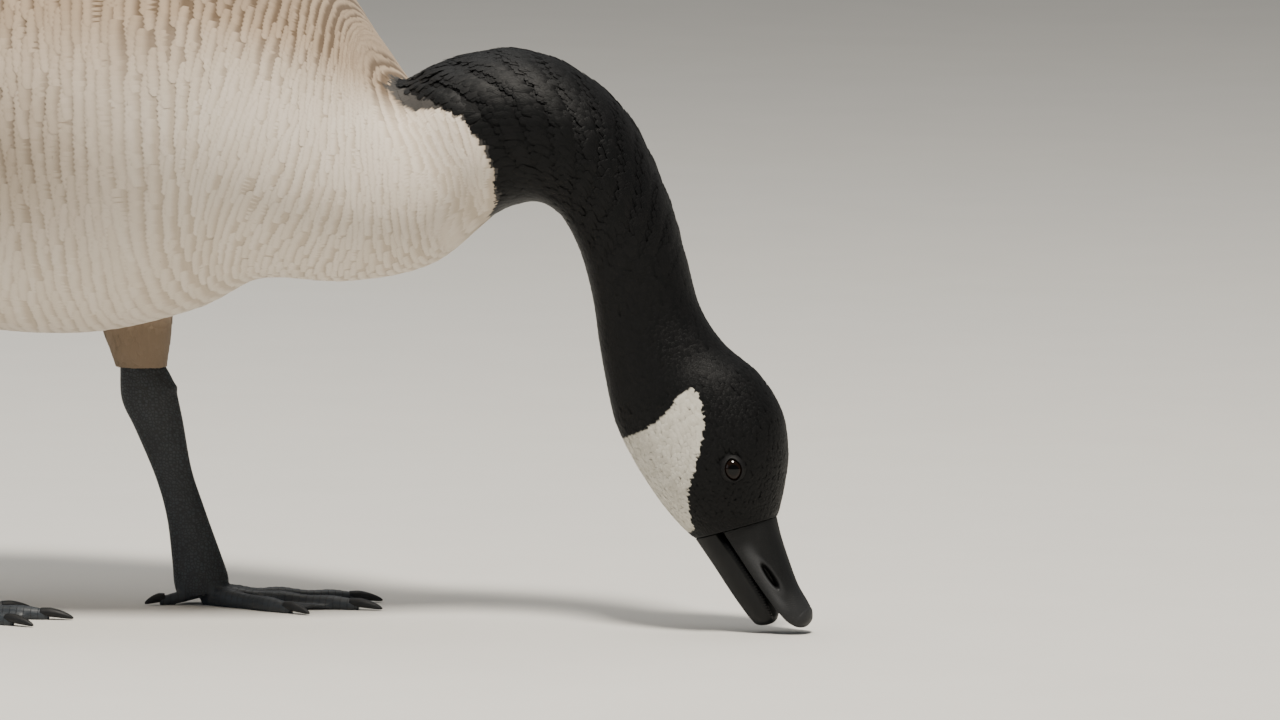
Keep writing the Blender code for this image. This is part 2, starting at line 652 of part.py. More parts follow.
def make_arm(side):
    """The folded arm: a slab laid on the body at the gap, thinner towards its edges."""
    outline = np.array(ARM_OUTLINE)
    x = np.linspace(outline[0, 0], outline[-1, 0], ARM_ROWS)[:, None]
    lowest, highest, thickness = (np.interp(x, outline[:, 0], outline[:, column]) for column in (1, 2, 3))
    across = np.linspace(0, 1, 8)[None, :]
    angle = np.radians(lowest + (highest - lowest) * across)
    station = np.broadcast_to(station_at(BODY, x), angle.shape)
    swell = 0.35 + 0.65 * np.sin(math.pi * across) ** 0.7
    mirror = np.array([1, side, 1])
    under = on_loft(BODY, station, angle, np.full(angle.shape, WING_CLEARANCE)) * mirror
    over = on_loft(BODY, station, angle, WING_CLEARANCE + thickness * swell) * mirror
    return plate("arm", under, over, "wing")


def make_wing_feather(tier, up, side):
    """One feather of a tier; up is 0 for the lowest of the tier and 1 for the highest."""
    share = np.linspace(0, 1, tier.parts) ** 0.8
    root_x, tip_x, root_angle, tip_angle, tip_rise = (
        low + (high - low) * up
        for low, high in (tier.root_x, tier.tip_x, tier.root_angle, tier.tip_angle, tier.tip_rise)
    )
    station = station_at(BODY, root_x + (tip_x - root_x) * share)
    angle = np.radians(root_angle + (tip_angle - root_angle) * share)
    rise = tier.root_rise + (tip_rise - tier.root_rise) * np.minimum(share / 0.6, 1.0) ** 0.7
    across = on_loft(BODY, station, angle + 0.01, rise) - on_loft(BODY, station, angle - 0.01, rise)
    spread = tier.half_width * vane_shape(share) * 0.02 / np.linalg.norm(across, axis=1)
    mirror = np.array([1, side, 1])
    lower = on_loft(BODY, station, angle - spread, rise + VANE_TILT) * mirror
    upper = on_loft(BODY, station, angle + spread, rise - 0.3 * VANE_TILT) * mirror
    ridge = on_loft(BODY, station, angle, rise + 0.35 * VANE_TILT + VANE_THICKNESS / 2) * mirror
    underside = on_loft(BODY, station, angle, rise + 0.35 * VANE_TILT - VANE_THICKNESS / 2) * mirror
    return vane(lower, ridge, upper, underside, "wing")


def make_wing(name, side):
    """A folded wing: the arm, with its flight feathers, coverts and shoulder feathers in tiers."""
    pieces = [make_arm(side)]
    for tier in WING_TIERS:
        for number in range(tier.count):
            pieces.append(make_wing_feather(tier, number / (tier.count - 1), side))
    return fuse(name, pieces, "MANIFOLD")


def finish():
    """Smooths the shading, and hangs every part on one empty that centres the whole length."""
    goose = bpy.data.objects.new("goose", None)
    bpy.context.scene.collection.objects.link(goose)
    goose.location = (FORE_SHIFT, 0, 0)
    for thing in list(bpy.data.objects):
        if thing.type == "MESH":
            thing.data.shade_smooth()
            thing.data.set_sharp_from_angle(angle=math.radians(40))
            thing.parent = goose


clear_scene()
make_torso()
make_neck()
make_head()
make_eyes()
make_bill()
for name, leg in LEGS.items():
    make_leg(name, leg)
make_tail()
make_wing("wing_left", 1)
make_wing("wing_right", -1)
finish()
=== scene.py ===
"""The looks of a Canada goose bent down to graze, life size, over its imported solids.

The bird is put together as it grew: skin, bill, legs and feet, then the coat tract by tract with the
eyes before the head's, then tail and wings. Metres, +Z up; the goose faces +X and its own left side
is +Y.
"""

import math

import bmesh
import bpy
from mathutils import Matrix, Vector
import numpy as np


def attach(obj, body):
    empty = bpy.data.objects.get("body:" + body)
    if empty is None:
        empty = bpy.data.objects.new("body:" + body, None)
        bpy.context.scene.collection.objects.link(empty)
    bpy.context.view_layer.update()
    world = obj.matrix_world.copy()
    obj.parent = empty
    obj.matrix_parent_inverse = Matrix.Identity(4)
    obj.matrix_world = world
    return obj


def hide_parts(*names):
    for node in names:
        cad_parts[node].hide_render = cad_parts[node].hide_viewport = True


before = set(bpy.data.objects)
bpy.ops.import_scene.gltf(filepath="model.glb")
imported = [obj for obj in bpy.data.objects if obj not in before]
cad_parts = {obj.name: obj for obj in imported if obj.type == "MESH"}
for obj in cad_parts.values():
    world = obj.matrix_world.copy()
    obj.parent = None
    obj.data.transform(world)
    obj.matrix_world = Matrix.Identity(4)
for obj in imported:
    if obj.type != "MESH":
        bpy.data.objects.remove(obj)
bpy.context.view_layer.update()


# Camera. A long lens low over the ground, a little in front of the bird's right side. The picture
# holds the front half of the bird, as in the photograph.
VIEW_AZIMUTH, VIEW_ELEVATION, VIEW_DISTANCE = math.radians(15), math.radians(6), 9.0
VIEW_TARGET = Vector((0.2607, 0.0736, 0.1110))
VIEW_WIDTH, SENSOR = 0.5689, 36.0


def put_facing(name, data, place, way):
    """A camera or lamp at a place, turned so that its own -Z looks along a way."""
    made = bpy.data.objects.new(name, data)
    made.location = place
    made.rotation_mode = "QUATERNION"
    made.rotation_quaternion = way.to_track_quat("-Z", "Y")
    bpy.context.scene.collection.objects.link(made)
    return made


back = Vector((
    math.sin(VIEW_AZIMUTH) * math.cos(VIEW_ELEVATION),
    -math.cos(VIEW_AZIMUTH) * math.cos(VIEW_ELEVATION),
    math.sin(VIEW_ELEVATION),
))
lens = bpy.data.cameras.new("camera")
lens.sensor_width = SENSOR
lens.lens = SENSOR * VIEW_DISTANCE / VIEW_WIDTH
lens.clip_start, lens.clip_end = 0.1, 100.0
bpy.context.scene.camera = put_facing("camera", lens, VIEW_TARGET + back * VIEW_DISTANCE, -back)


# Floor. A wide sheet of matt off-white studio card, rolled from roll stock, so it has only a faint
# mottle of a few centimetres.
FLOOR_HALF, MOTTLE_SIZE = 40.0, 0.06


def linear(code):
    """A colour from an sRGB hex code: (c + 0.055) / 1.055 to the power 2.4, or c / 12.92 near black."""
    parts = [int(code[place:place + 2], 16) / 255 for place in (1, 3, 5)]
    return (*[((c + 0.055) / 1.055) ** 2.4 if c > 0.04045 else c / 12.92 for c in parts], 1.0)


def set_inputs(node, inputs):
    """Gives a node its inputs, by name or in order: a number, a colour's hex code, or what to link, a
    socket or a node whose first working output is meant."""
    for key, value in inputs.items() if isinstance(inputs, dict) else enumerate(inputs):
        if isinstance(value, bpy.types.Node):
            value = next(socket for socket in value.outputs if socket.enabled)
        if isinstance(value, bpy.types.NodeSocket):
            node.id_data.links.new(value, node.inputs[key])
        else:
            node.inputs[key].default_value = linear(value) if isinstance(value, str) else value


def add_node(tree, kind, settings=(), inputs=()):
    """Adds a node with its own settings and its inputs."""
    made = tree.nodes.new("ShaderNode" + kind)
    for name, value in dict(settings).items():
        setattr(made, name, value)
    set_inputs(made, inputs)
    return made


def lay_over(tree, under, *layers, kind="RGBA"):
    """A colour or number with others laid over it in turn, each with how much of it shows."""
    for share, over in layers:
        under = add_node(tree, "Mix", {"data_type": kind}, {"Factor": share, "A": under, "B": over})
    return under


def new_material(name, **sockets):
    """A Principled material; sockets are set on its shader by name, with _ for a space."""
    made = bpy.data.materials.new(name)
    made.use_nodes = True
    shader = made.node_tree.nodes["Principled BSDF"]
    set_inputs(shader, {key.replace("_", " "): value for key, value in sockets.items()})
    return made, made.node_tree, shader


def make_mesh(name, points, faces, look, **attributes):
    """A smooth mesh object from points and arrays of quads or triangles; attributes are per point."""
    mesh = bpy.data.meshes.new(name)
    corners = np.concatenate([np.asarray(part).ravel() for part in faces])
    counts = np.concatenate([np.full(len(part), np.shape(part)[1]) for part in faces])
    mesh.vertices.add(len(points))
    mesh.vertices.foreach_set("co", np.asarray(points, np.float32).ravel())
    mesh.loops.add(len(corners))
    mesh.loops.foreach_set("vertex_index", corners.astype(np.int32))
    mesh.polygons.add(len(counts))
    mesh.polygons.foreach_set("loop_start", (np.cumsum(counts) - counts).astype(np.int32))
    mesh.update(calc_edges=True)
    for key, values in attributes.items():
        values = np.asarray(values, np.float32)
        if key == "OFBake":
            mesh.uv_layers.new(name=key).data.foreach_set("uv", values[corners].ravel())
        elif values.ndim == 1:
            mesh.attributes.new(key, "FLOAT", "POINT").data.foreach_set("value", values)
        else:
            mesh.attributes.new(key, "FLOAT_VECTOR", "POINT").data.foreach_set("vector", values.ravel())
    mesh.shade_smooth()
    mesh.materials.append(look)
    made = bpy.data.objects.new(name, mesh)
    bpy.context.scene.collection.objects.link(made)
    return made


card, tree, shader = new_material("matt_card", Roughness=0.9)
mottle = add_node(tree, "TexNoise", inputs={
    "Vector": add_node(tree, "TexCoord").outputs["Object"], "Scale": 1 / MOTTLE_SIZE, "Detail": 2.0})
set_inputs(shader, {"Base Color": lay_over(tree, "#CDCBC6", (mottle, "#D2D0CB"))})
corners = FLOOR_HALF * np.array([(-1, -1, 0), (1, -1, 0), (1, 1, 0), (-1, 1, 0)])
make_mesh("floor", corners, [np.array([[0, 1, 2, 3]])], card)


# Studio lights. A large soft lamp above and in front of the bird, as the sun stands in the photograph,
# a wide soft one over the back, and a dim even surround.
LAMPS = [
    # name, place, side in metres, watts, colour
    ("lamp_front", (0.75, -1.05, 2.90), 0.6, 165.0, "#FFF8EC"),
    ("lamp_over", (-0.30, 0.60, 2.40), 2.2, 36.0, "#FFFDF8"),
    ("lamp_side", (-1.80, -2.20, 1.20), 1.6, 10.0, "#EEF4FF"),
]
LAMP_TARGET = Vector((0.05, 0.0, 0.17))
SURROUND, SURROUND_STRENGTH = "#EBEEF1", 0.19

for name, place, side, watts, colour in LAMPS:
    lamp = bpy.data.lights.new(name, "AREA")
    lamp.size, lamp.energy, lamp.color = side, watts, linear(colour)[:3]
    put_facing(name, lamp, place, LAMP_TARGET - Vector(place))
world = bpy.data.worlds.new("surround")
world.use_nodes = True
set_inputs(world.node_tree.nodes["Background"], {"Color": SURROUND, "Strength": SURROUND_STRENGTH})
bpy.context.scene.world = world


# Skin of body, neck, head and thighs. One thin hide under the coat, from the root of the tail to the
# margin of the bill, with the folded arms under it at the shoulders and the feathered legs grown on.
FORE_SHIFT = -0.0140  # from the table's own x to the model's
FULLNESS = 2.12  # 2 is an ellipse, more is squarer
# Rings across the body: upper point x z, lower point x z, half width, and how far up it is widest.
BODY = np.array([
    # behind the torso, where the folded flight feathers lie
    (-0.352, 0.262, -0.352, 0.238, 0.030, 0.50),
    (-0.290, 0.270, -0.290, 0.234, 0.036, 0.50),
    # torso, from the root of the tail to the root of the neck
    (-0.228, 0.271, -0.222, 0.236, 0.038, 0.50),
    (-0.185, 0.289, -0.185, 0.206, 0.056, 0.55),
    (-0.135, 0.306, -0.135, 0.170, 0.070, 0.55),
    (-0.075, 0.319, -0.075, 0.141, 0.081, 0.52),
    (-0.015, 0.326, -0.015, 0.127, 0.087, 0.50),
    (0.045, 0.325, 0.042, 0.125, 0.089, 0.50),
    (0.093, 0.317, 0.090, 0.136, 0.086, 0.49),
    (0.127, 0.304, 0.122, 0.151, 0.080, 0.48),
    (0.1485, 0.288, 0.163, 0.151, 0.068, 0.47),
    (0.1640, 0.266, 0.199, 0.159, 0.051, 0.47),
    (0.1835, 0.2405, 0.227, 0.181, 0.035, 0.50),
    # neck, over the arch and down to the nape
    (0.207, 0.2496, 0.240, 0.187, 0.033, 0.50),
    (0.235, 0.2556, 0.250, 0.188, 0.030, 0.50),
    (0.2624, 0.2480, 0.258, 0.184, 0.028, 0.50),
    (0.288, 0.227, 0.263, 0.178, 0.026, 0.50),
    (0.306, 0.192, 0.269, 0.165, 0.0235, 0.50),
    (0.3145, 0.165, 0.274, 0.146, 0.0220, 0.50),
    (0.321, 0.143, 0.277, 0.125, 0.0215, 0.50),
    (0.332, 0.127, 0.2810, 0.104, 0.0225, 0.50),
    # head, from the nape to the feathered margin of the bill
    (0.3480, 0.1140, 0.2845, 0.0905, 0.0245, 0.50),
    (0.3585, 0.0975, 0.2925, 0.0750, 0.0260, 0.48),
    (0.3612, 0.0800, 0.3030, 0.0595, 0.0258, 0.46),
    (0.3597, 0.0655, 0.3122, 0.0485, 0.0225, 0.45),
    (0.3568, 0.0515, 0.3200, 0.0410, 0.0168, 0.45),
])
NECK_RING, BILL_RING = 12, 25
# Rings of the rump: the same body, but drawn in over the roots of the tail feathers.
RUMP = np.concatenate([[
    (-0.345, 0.2510, -0.345, 0.2440, 0.044, 0.50),
    (-0.300, 0.2580, -0.298, 0.2440, 0.041, 0.50),
    (-0.262, 0.2650, -0.258, 0.2395, 0.039, 0.50),
], BODY[2:6]])
RUMP_END, RUMP_JOIN = 1.5, 3.0  # where the hide ends in the tail, and the rump's ring at BODY's ring 2
RUMP_SINK, THIGH_SINK = 0.006, 0.0020  # the hide drawn in at the tail, and under the coat of the thigh
# Depth of the coat over the skin, by ring.
COAT_RINGS = [0, 2, 10, 12.5, 14, 19, 21, 24, 25]
COAT_DEPTH = [0.004, 0.004, 0.004, 0.0032, 0.0024, 0.0020, 0.0014, 0.0008, 0.0003]
ARM_SWELL, THIGH_SWELL = 0.0065, 0.0065  # how far the folded arm and the thigh lift the hide
# The arm's swell fades out forward, aft, down and up: x, or degrees above the side.
ARM_FORE, ARM_AFT, ARM_LOW, ARM_TOP = (0.140, 0.095), (-0.16, -0.11), (-24, 14), (62, 88)
THIGH_MIDDLE, THIGH_RUN = (0.046, -0.024), 0.026  # x of the left and the right one, and their spread
THIGH_SIDE, THIGH_TURN = -53, 15  # degrees above the side, and their spread
SKIN_ROWS = [(2, 10, 120), (10, 14, 80), (14, 20, 110), (20, 25, 110)]  # first ring, last ring, rows
RUMP_ROWS, SKIN_COLUMNS, THIGH_ROWS = 24, 144, 40
# Feathered part of each leg: x y z, half depth fore and aft, half width.
THIGHS = {
    "left": np.array([
        (0.0530, 0.0422, 0.1050, 0.0114, 0.0090), (0.0500, 0.0435, 0.125, 0.0165, 0.0130),
        (0.0440, 0.045, 0.150, 0.0235, 0.0130), (0.040, 0.045, 0.180, 0.027, 0.012)]),
    "right": np.array([
        (-0.0430, -0.0422, 0.1080, 0.0112, 0.0090), (-0.0350, -0.0435, 0.128, 0.0162, 0.0130),
        (-0.020, -0.045, 0.155, 0.0235, 0.0130), (-0.010, -0.045, 0.185, 0.027, 0.012)]),
}
# Edge of the black hood, edge of the brown back and both edges of the white chin strap, each by turn
# from the top in degrees and by ring.
HOOD_TURN = [0, 17, 25, 43, 54, 63, 72, 83, 94, 108, 126, 148, 169, 180]
HOOD_RING = [11.92, 12.00, 12.23, 12.46, 12.67, 12.87, 13.10, 13.23, 13.29, 13.29, 13.18, 12.72, 12.09, 11.95]
BACK_RING, BACK_TURN = [5, 7, 8, 9, 10, 11, 11.8], [78, 74, 70, 63, 59, 54, 44]
STRAP_TURN = [64, 70, 72, 75, 78, 86, 94, 105, 113, 124, 130, 144, 180]
STRAP_NAPE = [21.40, 20.95, 20.78, 20.74, 20.76, 20.86, 21.07, 21.25, 21.31, 21.37, 21.38, 21.40, 21.38]
STRAP_FACE = [20.70, 20.98, 21.20, 21.54, 21.76, 22.25, 22.69, 23.11, 23.62, 24.30, 24.58, 24.62, 24.55]
# Where the brown of flank and spine and the white of vent and rump fade in, by ring and by turn.
FLANK_RING, FLANK_TURN, SPINE_RING, SPINE_TURN = (8.7, 6.3), (135, 95), (10.6, 8.6), (64, 30)
VENT_RING, VENT_TURN, WHITE_RING = (5.4, 4.4), (86, 108), (3.15, 2.85)


def alike(*parts):
    """Numbers and arrays as arrays of one shape."""
    return np.broadcast_arrays(*(np.asarray(part, float) for part in parts))


def unit(ways):
    """Vectors divided by their own length."""
    return ways / np.maximum(np.linalg.norm(ways, axis=-1, keepdims=True), 1e-12)


def ring_grid(rings, columns):
    """Each of the rings with even angles round it, as two arrays of rings by columns."""
    return np.meshgrid(rings, np.linspace(0, 2 * math.pi, columns, endpoint=False), indexing="ij")


def eased(rows, at):
    """A row at a fractional place in a table, on the Catmull-Rom cubic through its rows."""
    rows = np.vstack([2 * rows[0] - rows[1], rows, 2 * rows[-1] - rows[-2]])
    at = np.clip(np.asarray(at, float), 0, len(rows) - 3)
    whole = np.minimum(at.astype(int), len(rows) - 4)
    part = (at - whole)[..., None]
    a, b, c, d = (rows[whole + step] for step in range(4))
    return b + 0.5 * part * (c - a + part * (2 * a - 5 * b + 4 * c - d + part * (3 * (b - c) + d - a)))


def on_ring(sections, ring, angle, fullness):
    """A superellipse between a ring's upper and lower point: the signed power 2 / fullness of
    sine goes up and of cosine goes across. Angle 0 is the left side, a quarter turn is the top."""
    row = eased(sections, ring)
    top, low, half_width, waist = row[..., 0:2], row[..., 2:4], row[..., 4], row[..., 5:6]
    middle = low + (top - low) * waist
    up, across = np.sin(angle), np.cos(angle)
    reach = np.where((up > 0)[..., None], top - middle, middle - low)
    profile = middle + reach * (np.sign(up) * np.abs(up) ** (2 / fullness))[..., None]
    width = half_width * np.sign(across) * np.abs(across) ** (2 / fullness)
    return np.stack([profile[..., 0] + FORE_SHIFT, width, profile[..., 1]], axis=-1)


def on_loft(sections, ring, angle, height=0.0, fullness=FULLNESS):
    """A point at a height over the loft, along the cross product of its two slopes."""
    ring, angle, height = alike(ring, angle, height)
    step = 1e-3
    here, left, right, fore, aft = (
        on_ring(sections, ring + ring_step, angle + turn_step, fullness)
        for ring_step, turn_step in ((0, 0), (0, step), (0, -step), (step, 0), (-step, 0)))
    return here + unit(np.cross(left - right, fore - aft)) * height[..., None]


def on_body(ring, angle, height=0.0):
    """A point over the loft through BODY's rings."""
    return on_loft(BODY, ring, angle, height)


def on_rump(ring, angle, height=0.0):
    """A point over the loft through RUMP's rings."""
    return on_loft(RUMP, ring, angle, height)


def limb(joints, level=False):
    """The surface of a limb: an ellipse round the middle line through its joints, square to the line
    or level with the floor."""

    def on_limb(ring, angle, height=0.0):
        ring, angle, height = alike(ring, angle, height)
        row = eased(joints, ring)
        near = np.clip(ring, 0.02, len(joints) - 1.02)
        way = eased(joints, near + 0.02)[..., :3] - eased(joints, near - 0.02)[..., :3]
        way = unit(way * (0, 0, 1) if level else way)
        across = unit(np.array([0.0, 1.0, 0.0]) - way * way[..., 1:2])
        out = np.cross(across, way) * (np.cos(angle) * (row[..., 3] + height))[..., None]
        out = out + across * (np.sin(angle) * (row[..., 4] + height))[..., None]
        return row[..., :3] + out + (FORE_SHIFT, 0, 0)

    return on_limb


def smooth_step(low, high, value):
    """0 below low, 1 above high and 3 s^2 - 2 s^3 between; high may be the smaller."""
    share = np.clip((value - low) / (high - low), 0, 1)
    return share * share * (3 - 2 * share)


def turn_from_top(angle):
    """Degrees from the back or crown, 0 to 180, alike on both sides."""
    return np.degrees(np.arccos(np.clip(np.sin(angle), -1, 1)))


def ring_middle(ring):
    """The x of a ring's middle, in the table's own x."""
    return np.interp(ring, range(len(BODY)), (BODY[:, 0] + BODY[:, 2]) / 2)


def skin_height(ring, angle):
    """The hide lies under the loft by the coat's depth, over the folded arm by its swell, and rounds
    out over the muscle at the top of each leg."""
    x, side = ring_middle(ring), 90 - turn_from_top(angle)
    leg = THIGH_SWELL * np.exp(-((x - np.where(np.cos(angle) > 0, *THIGH_MIDDLE)) / THIGH_RUN) ** 2)
    leg = leg * np.exp(-((side - THIGH_SIDE) / THIGH_TURN) ** 2)
    arm = smooth_step(*ARM_FORE, x) * smooth_step(*ARM_AFT, x)
    arm = arm * smooth_step(*ARM_LOW, side) * (1 - 0.35 * smooth_step(*ARM_TOP, side))
    swell = (ARM_SWELL * arm + leg) * (np.asarray(ring) < NECK_RING)
    return swell - np.interp(ring, COAT_RINGS, COAT_DEPTH)


def markings(ring, turn):
    """What each place of the plumage is, as numbers that skin and coat share.

    hood and strap run from below 0 outside to above 0 inside, in rings; white runs 0 to 1, and back
    0 to 1 and on to 1.5 along the spine."""
    hood = ring - np.interp(turn, HOOD_TURN, HOOD_RING)
    # outside the hood its rings are stretched below the side and near the top, which keeps the band of
    # painted shade narrow there; it is widest 24 to 54 degrees from the top
    sharper = 1 + 5 * smooth_step(54, 72, turn) + 5 * smooth_step(24, 12, turn)
    hood = np.where(hood < 0, hood * sharper, hood)
    strap = np.minimum(
        ring - np.interp(turn, STRAP_TURN, STRAP_NAPE), np.interp(turn, STRAP_TURN, STRAP_FACE) - ring)
    flank = smooth_step(*FLANK_RING, ring) * smooth_step(*FLANK_TURN, turn)
    edge = np.interp(ring, BACK_RING, BACK_TURN)
    back = np.maximum(smooth_step(edge + 26, edge - 14, turn), 0.7 * flank)
    back = back + 0.5 * smooth_step(*SPINE_TURN, turn) * smooth_step(*SPINE_RING, ring)
    vent = smooth_step(*VENT_RING, ring) * smooth_step(*VENT_TURN, turn)
    white = np.maximum(vent, smooth_step(*WHITE_RING, ring))
    return {"hood": hood, "strap": strap, "back": back, "white": white}


def thigh_markings(ring, turn):
    """The cuff above the shank is grey-brown, with a little of the hood's grey band laid over it as painted
    shade under the belly; higher up the leg is as pale as the belly.
    """
    cuff = smooth_step(1.9, 0.9, ring + 0 * turn)
    # hood at -0.43 on the cuff brings in about a fifth of the painted shade band's grey
    return {"hood": -1 + 0.57 * cuff, "strap": -1 + 0 * cuff, "back": 0.9 * cuff, "white": 0 * cuff}


def tube_faces(count, rows, sides):
    """Faces of closed tubes that each run from a pole over rows of points round them to a last pole."""
    inner = rows - 2
    size = inner * sides + 2
    row, side = np.meshgrid(np.arange(inner - 1), np.arange(sides), indexing="ij")
    after = (side + 1) % sides
    first = 1 + row * sides
    quads = np.stack([first + side, first + sides + side, first + sides + after, first + after], -1)
    side, after = np.arange(sides), (np.arange(sides) + 1) % sides
    last = 1 + (inner - 1) * sides
    fans = np.concatenate([
        np.stack([np.zeros(sides, int), 1 + side, 1 + after], -1),
        np.stack([np.full(sides, size - 1), last + after, last + side], -1)])
    start = np.arange(count)[:, None, None] * size
    return [(quads.reshape(1, -1, 4) + start).reshape(-1, 4), (fans[None] + start).reshape(-1, 3)]


def with_poles(grid):
    """Points of a tube of rings with a pole in the middle of each end."""
    return np.concatenate([grid[0].mean(0)[None], grid.reshape(-1, grid.shape[-1]), grid[-1].mean(0)[None]])


def outward(thing):
    """Turns every face of a closed object outwards."""
    work = bmesh.new()
    work.from_mesh(thing.data)
    bmesh.ops.recalc_face_normals(work, faces=work.faces)
    work.to_mesh(thing.data)
    work.free()
    return thing


def closed_tube(name, points, look, **values):
    """A tube of rings of points closed at both ends, with values for each point."""
    grid = with_poles(np.dstack([points, *values.values()]))
    return outward(make_mesh(
        name, grid[:, :3], tube_faces(1, len(points) + 2, points.shape[1]), look,
        **{key: grid[:, 3 + number] for number, key in enumerate(values)}))


def apply_modifier(thing, kind, **settings):
    """Adds one modifier and keeps its result as the object's mesh."""
    modifier = thing.modifiers.new("shape", kind)
    for name, value in settings.items():
        setattr(modifier, name, value)
    bpy.context.view_layer.update()
    result = bpy.data.meshes.new_from_object(thing.evaluated_get(bpy.context.evaluated_depsgraph_get()))
    thing.modifiers.clear()
    thing.data = result


def ready(piece, slot, *nodes):
    """The piece rides on the body and hides the solids that it stands for; slot is not used."""
    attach(piece, "root")
    if nodes:
        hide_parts(*nodes)


# A smooth step from one value to another, for rows of numbers in the order of its inputs.
RAMP = "MapRange", {"interpolation_type": "SMOOTHSTEP"}, ("Value", "From Min", "From Max", "To Min", "To Max")


def add_rows(tree, kind, settings, keys, *rows):
    """Adds a node for each row of inputs, given in the order of the keys."""
    return [add_node(tree, kind, settings, dict(zip(keys, row))) for row in rows]


def barb_lines(tree, barb, per_length, slant):
    """Height of the barbs of a vane: waves that slant from the shaft to the edge on both sides."""
    place, across, draw = add_node(tree, "SeparateXYZ", inputs=[barb]).outputs
    out = add_node(tree, "Math", {"operation": "ABSOLUTE"}, [across])
    lean = add_node(tree, "Math", {"operation": "MULTIPLY"}, [out, -slant])
    along = add_node(tree, "Math", {"operation": "MULTIPLY_ADD"}, [place, per_length, lean])
    vector = add_node(tree, "CombineXYZ", inputs=[along, draw])
    return add_node(tree, "TexNoise", inputs={"Vector": vector, "Scale": 1.0, "Detail": 1.0})


def plumage_material(name, roughness, sheen, specular, barbs):
    """Feathers, keratin barbs that hook into soft vanes: matt, with a soft bloom at grazing light.
    Colours go by markings: pale breast, brown back, white vent, black hood, white strap, and a dark grey band
    of painted shade just outside the hood's edge, where the neck meets the breast."""
    made, tree, shader = new_material(
        name, Roughness=roughness, Sheen_Weight=sheen, Sheen_Roughness=0.5, Specular_IOR_Level=specular)
    barb = add_node(tree, "Attribute", {"attribute_name": "barb"}).outputs["Vector"]
    hood, strap, back, white = (
        add_node(tree, "Attribute", {"attribute_name": key}).outputs["Fac"]
        for key in ("hood", "strap", "back", "white"))
    along, _, draw = add_node(tree, "SeparateXYZ", inputs=[barb]).outputs
    # rows of feathers make bars: each is pale before its tip, with a darker band before that
    # grey, from hood -0.48 to -0.30, is a band of painted shade just outside the hood's edge
    tip, end, band, grey, hood, strap = add_rows(
        tree, *RAMP, (along, 0.74, 0.90), (along, 0.93, 1.03, 1.0, 0.3), (along, 0.30, 0.70),
        (hood, -0.48, -0.30), (hood, -0.05, 0.04), (strap, -0.03, 0.03))
    tip = add_node(tree, "Math", {"operation": "MULTIPLY"}, [tip, end])
    spine = add_node(tree, "MapRange", inputs={
        "Value": back, "From Min": 1.0, "From Max": 1.5, "To Max": 0.55})
    cloud = add_node(tree, "TexNoise", inputs={
        "Vector": add_node(tree, "TexCoord").outputs["Object"], "Scale": 45.0, "Detail": 3.0})
    breast = lay_over(
        tree, "#D2C3B1", (cloud, "#DFD3C5"), (draw, "#CDBEAB"), (band, "#C2B3A0"),
        (tip, lay_over(tree, "#DED3C5", (draw, "#D5C8B7"))))
    brown = lay_over(
        tree, "#8C7861", (draw, "#7A6650"), (band, "#685643"),
        (tip, lay_over(tree, "#B09C85", (draw, "#9D8972"))), (spine, "#54463A"))
    vent = lay_over(tree, "#E6E4DF", (band, "#CFCCC6"), (tip, "#EDEBE7"))
    # the grey layer is painted shade in the notch where the black neck meets the breast
    colour = lay_over(
        tree, breast, (back, brown), (white, vent),
        (grey, lay_over(tree, "#45423F", (draw, "#33312F"))),
        (hood, lay_over(tree, "#070809", (draw, "#0D0D0E"))),
        (strap, lay_over(tree, "#CFCBBF", (draw, "#BDB8AB"))))
    bump = add_node(tree, "Bump", inputs={
        "Height": barb_lines(tree, barb, barbs, 0.35 * barbs), "Strength": 0.5, "Distance": 0.0003})
    set_inputs(shader, {"Base Color": colour, "Normal": bump})
    return made


contour_feathers = plumage_material("contour_feathers", 0.82, 0.10, 0.25, 14.0)
black_feathers = plumage_material("black_feathers", 0.50, 0.02, 0.14, 10.0)

rings = np.concatenate([np.linspace(first, last, count, endpoint=False) for first, last, count in SKIN_ROWS])
ring, angle = ring_grid(np.append(rings, BILL_RING), SKIN_COLUMNS)
body, body_marks = on_body(ring, angle, skin_height(ring, angle)), markings(ring, turn_from_top(angle))
ring, angle = ring_grid(np.linspace(RUMP_END, RUMP_JOIN, RUMP_ROWS, endpoint=False), SKIN_COLUMNS)
drawn_in = -COAT_DEPTH[0] - RUMP_SINK * smooth_step(RUMP_JOIN, RUMP_END, ring)
rump, rump_marks = on_rump(ring, angle, drawn_in), markings(ring - 1, turn_from_top(angle))
skin = closed_tube("skin", np.concatenate([rump, body]), contour_feathers, **{
    key: np.concatenate([rump_marks[key], body_marks[key]]) for key in body_marks})
for side, joints in THIGHS.items():
    ring, angle = ring_grid(np.linspace(0, len(joints) - 1, THIGH_ROWS), THIGH_ROWS)
    hide = limb(joints, level=True)(ring, angle, -THIGH_SINK)
    thigh = closed_tube("thigh_skin_" + side, hide, contour_feathers, **thigh_markings(ring, angle))
    apply_modifier(skin, "BOOLEAN", operation="UNION", solver="MANIFOLD", object=thigh)
    bpy.data.objects.remove(thigh)
skin.data.shade_smooth()
ready(
    skin, "body_plumage", "torso", "neck_base", "neck_arch", "neck_upper", "head", "thigh_left",
    "thigh_right")


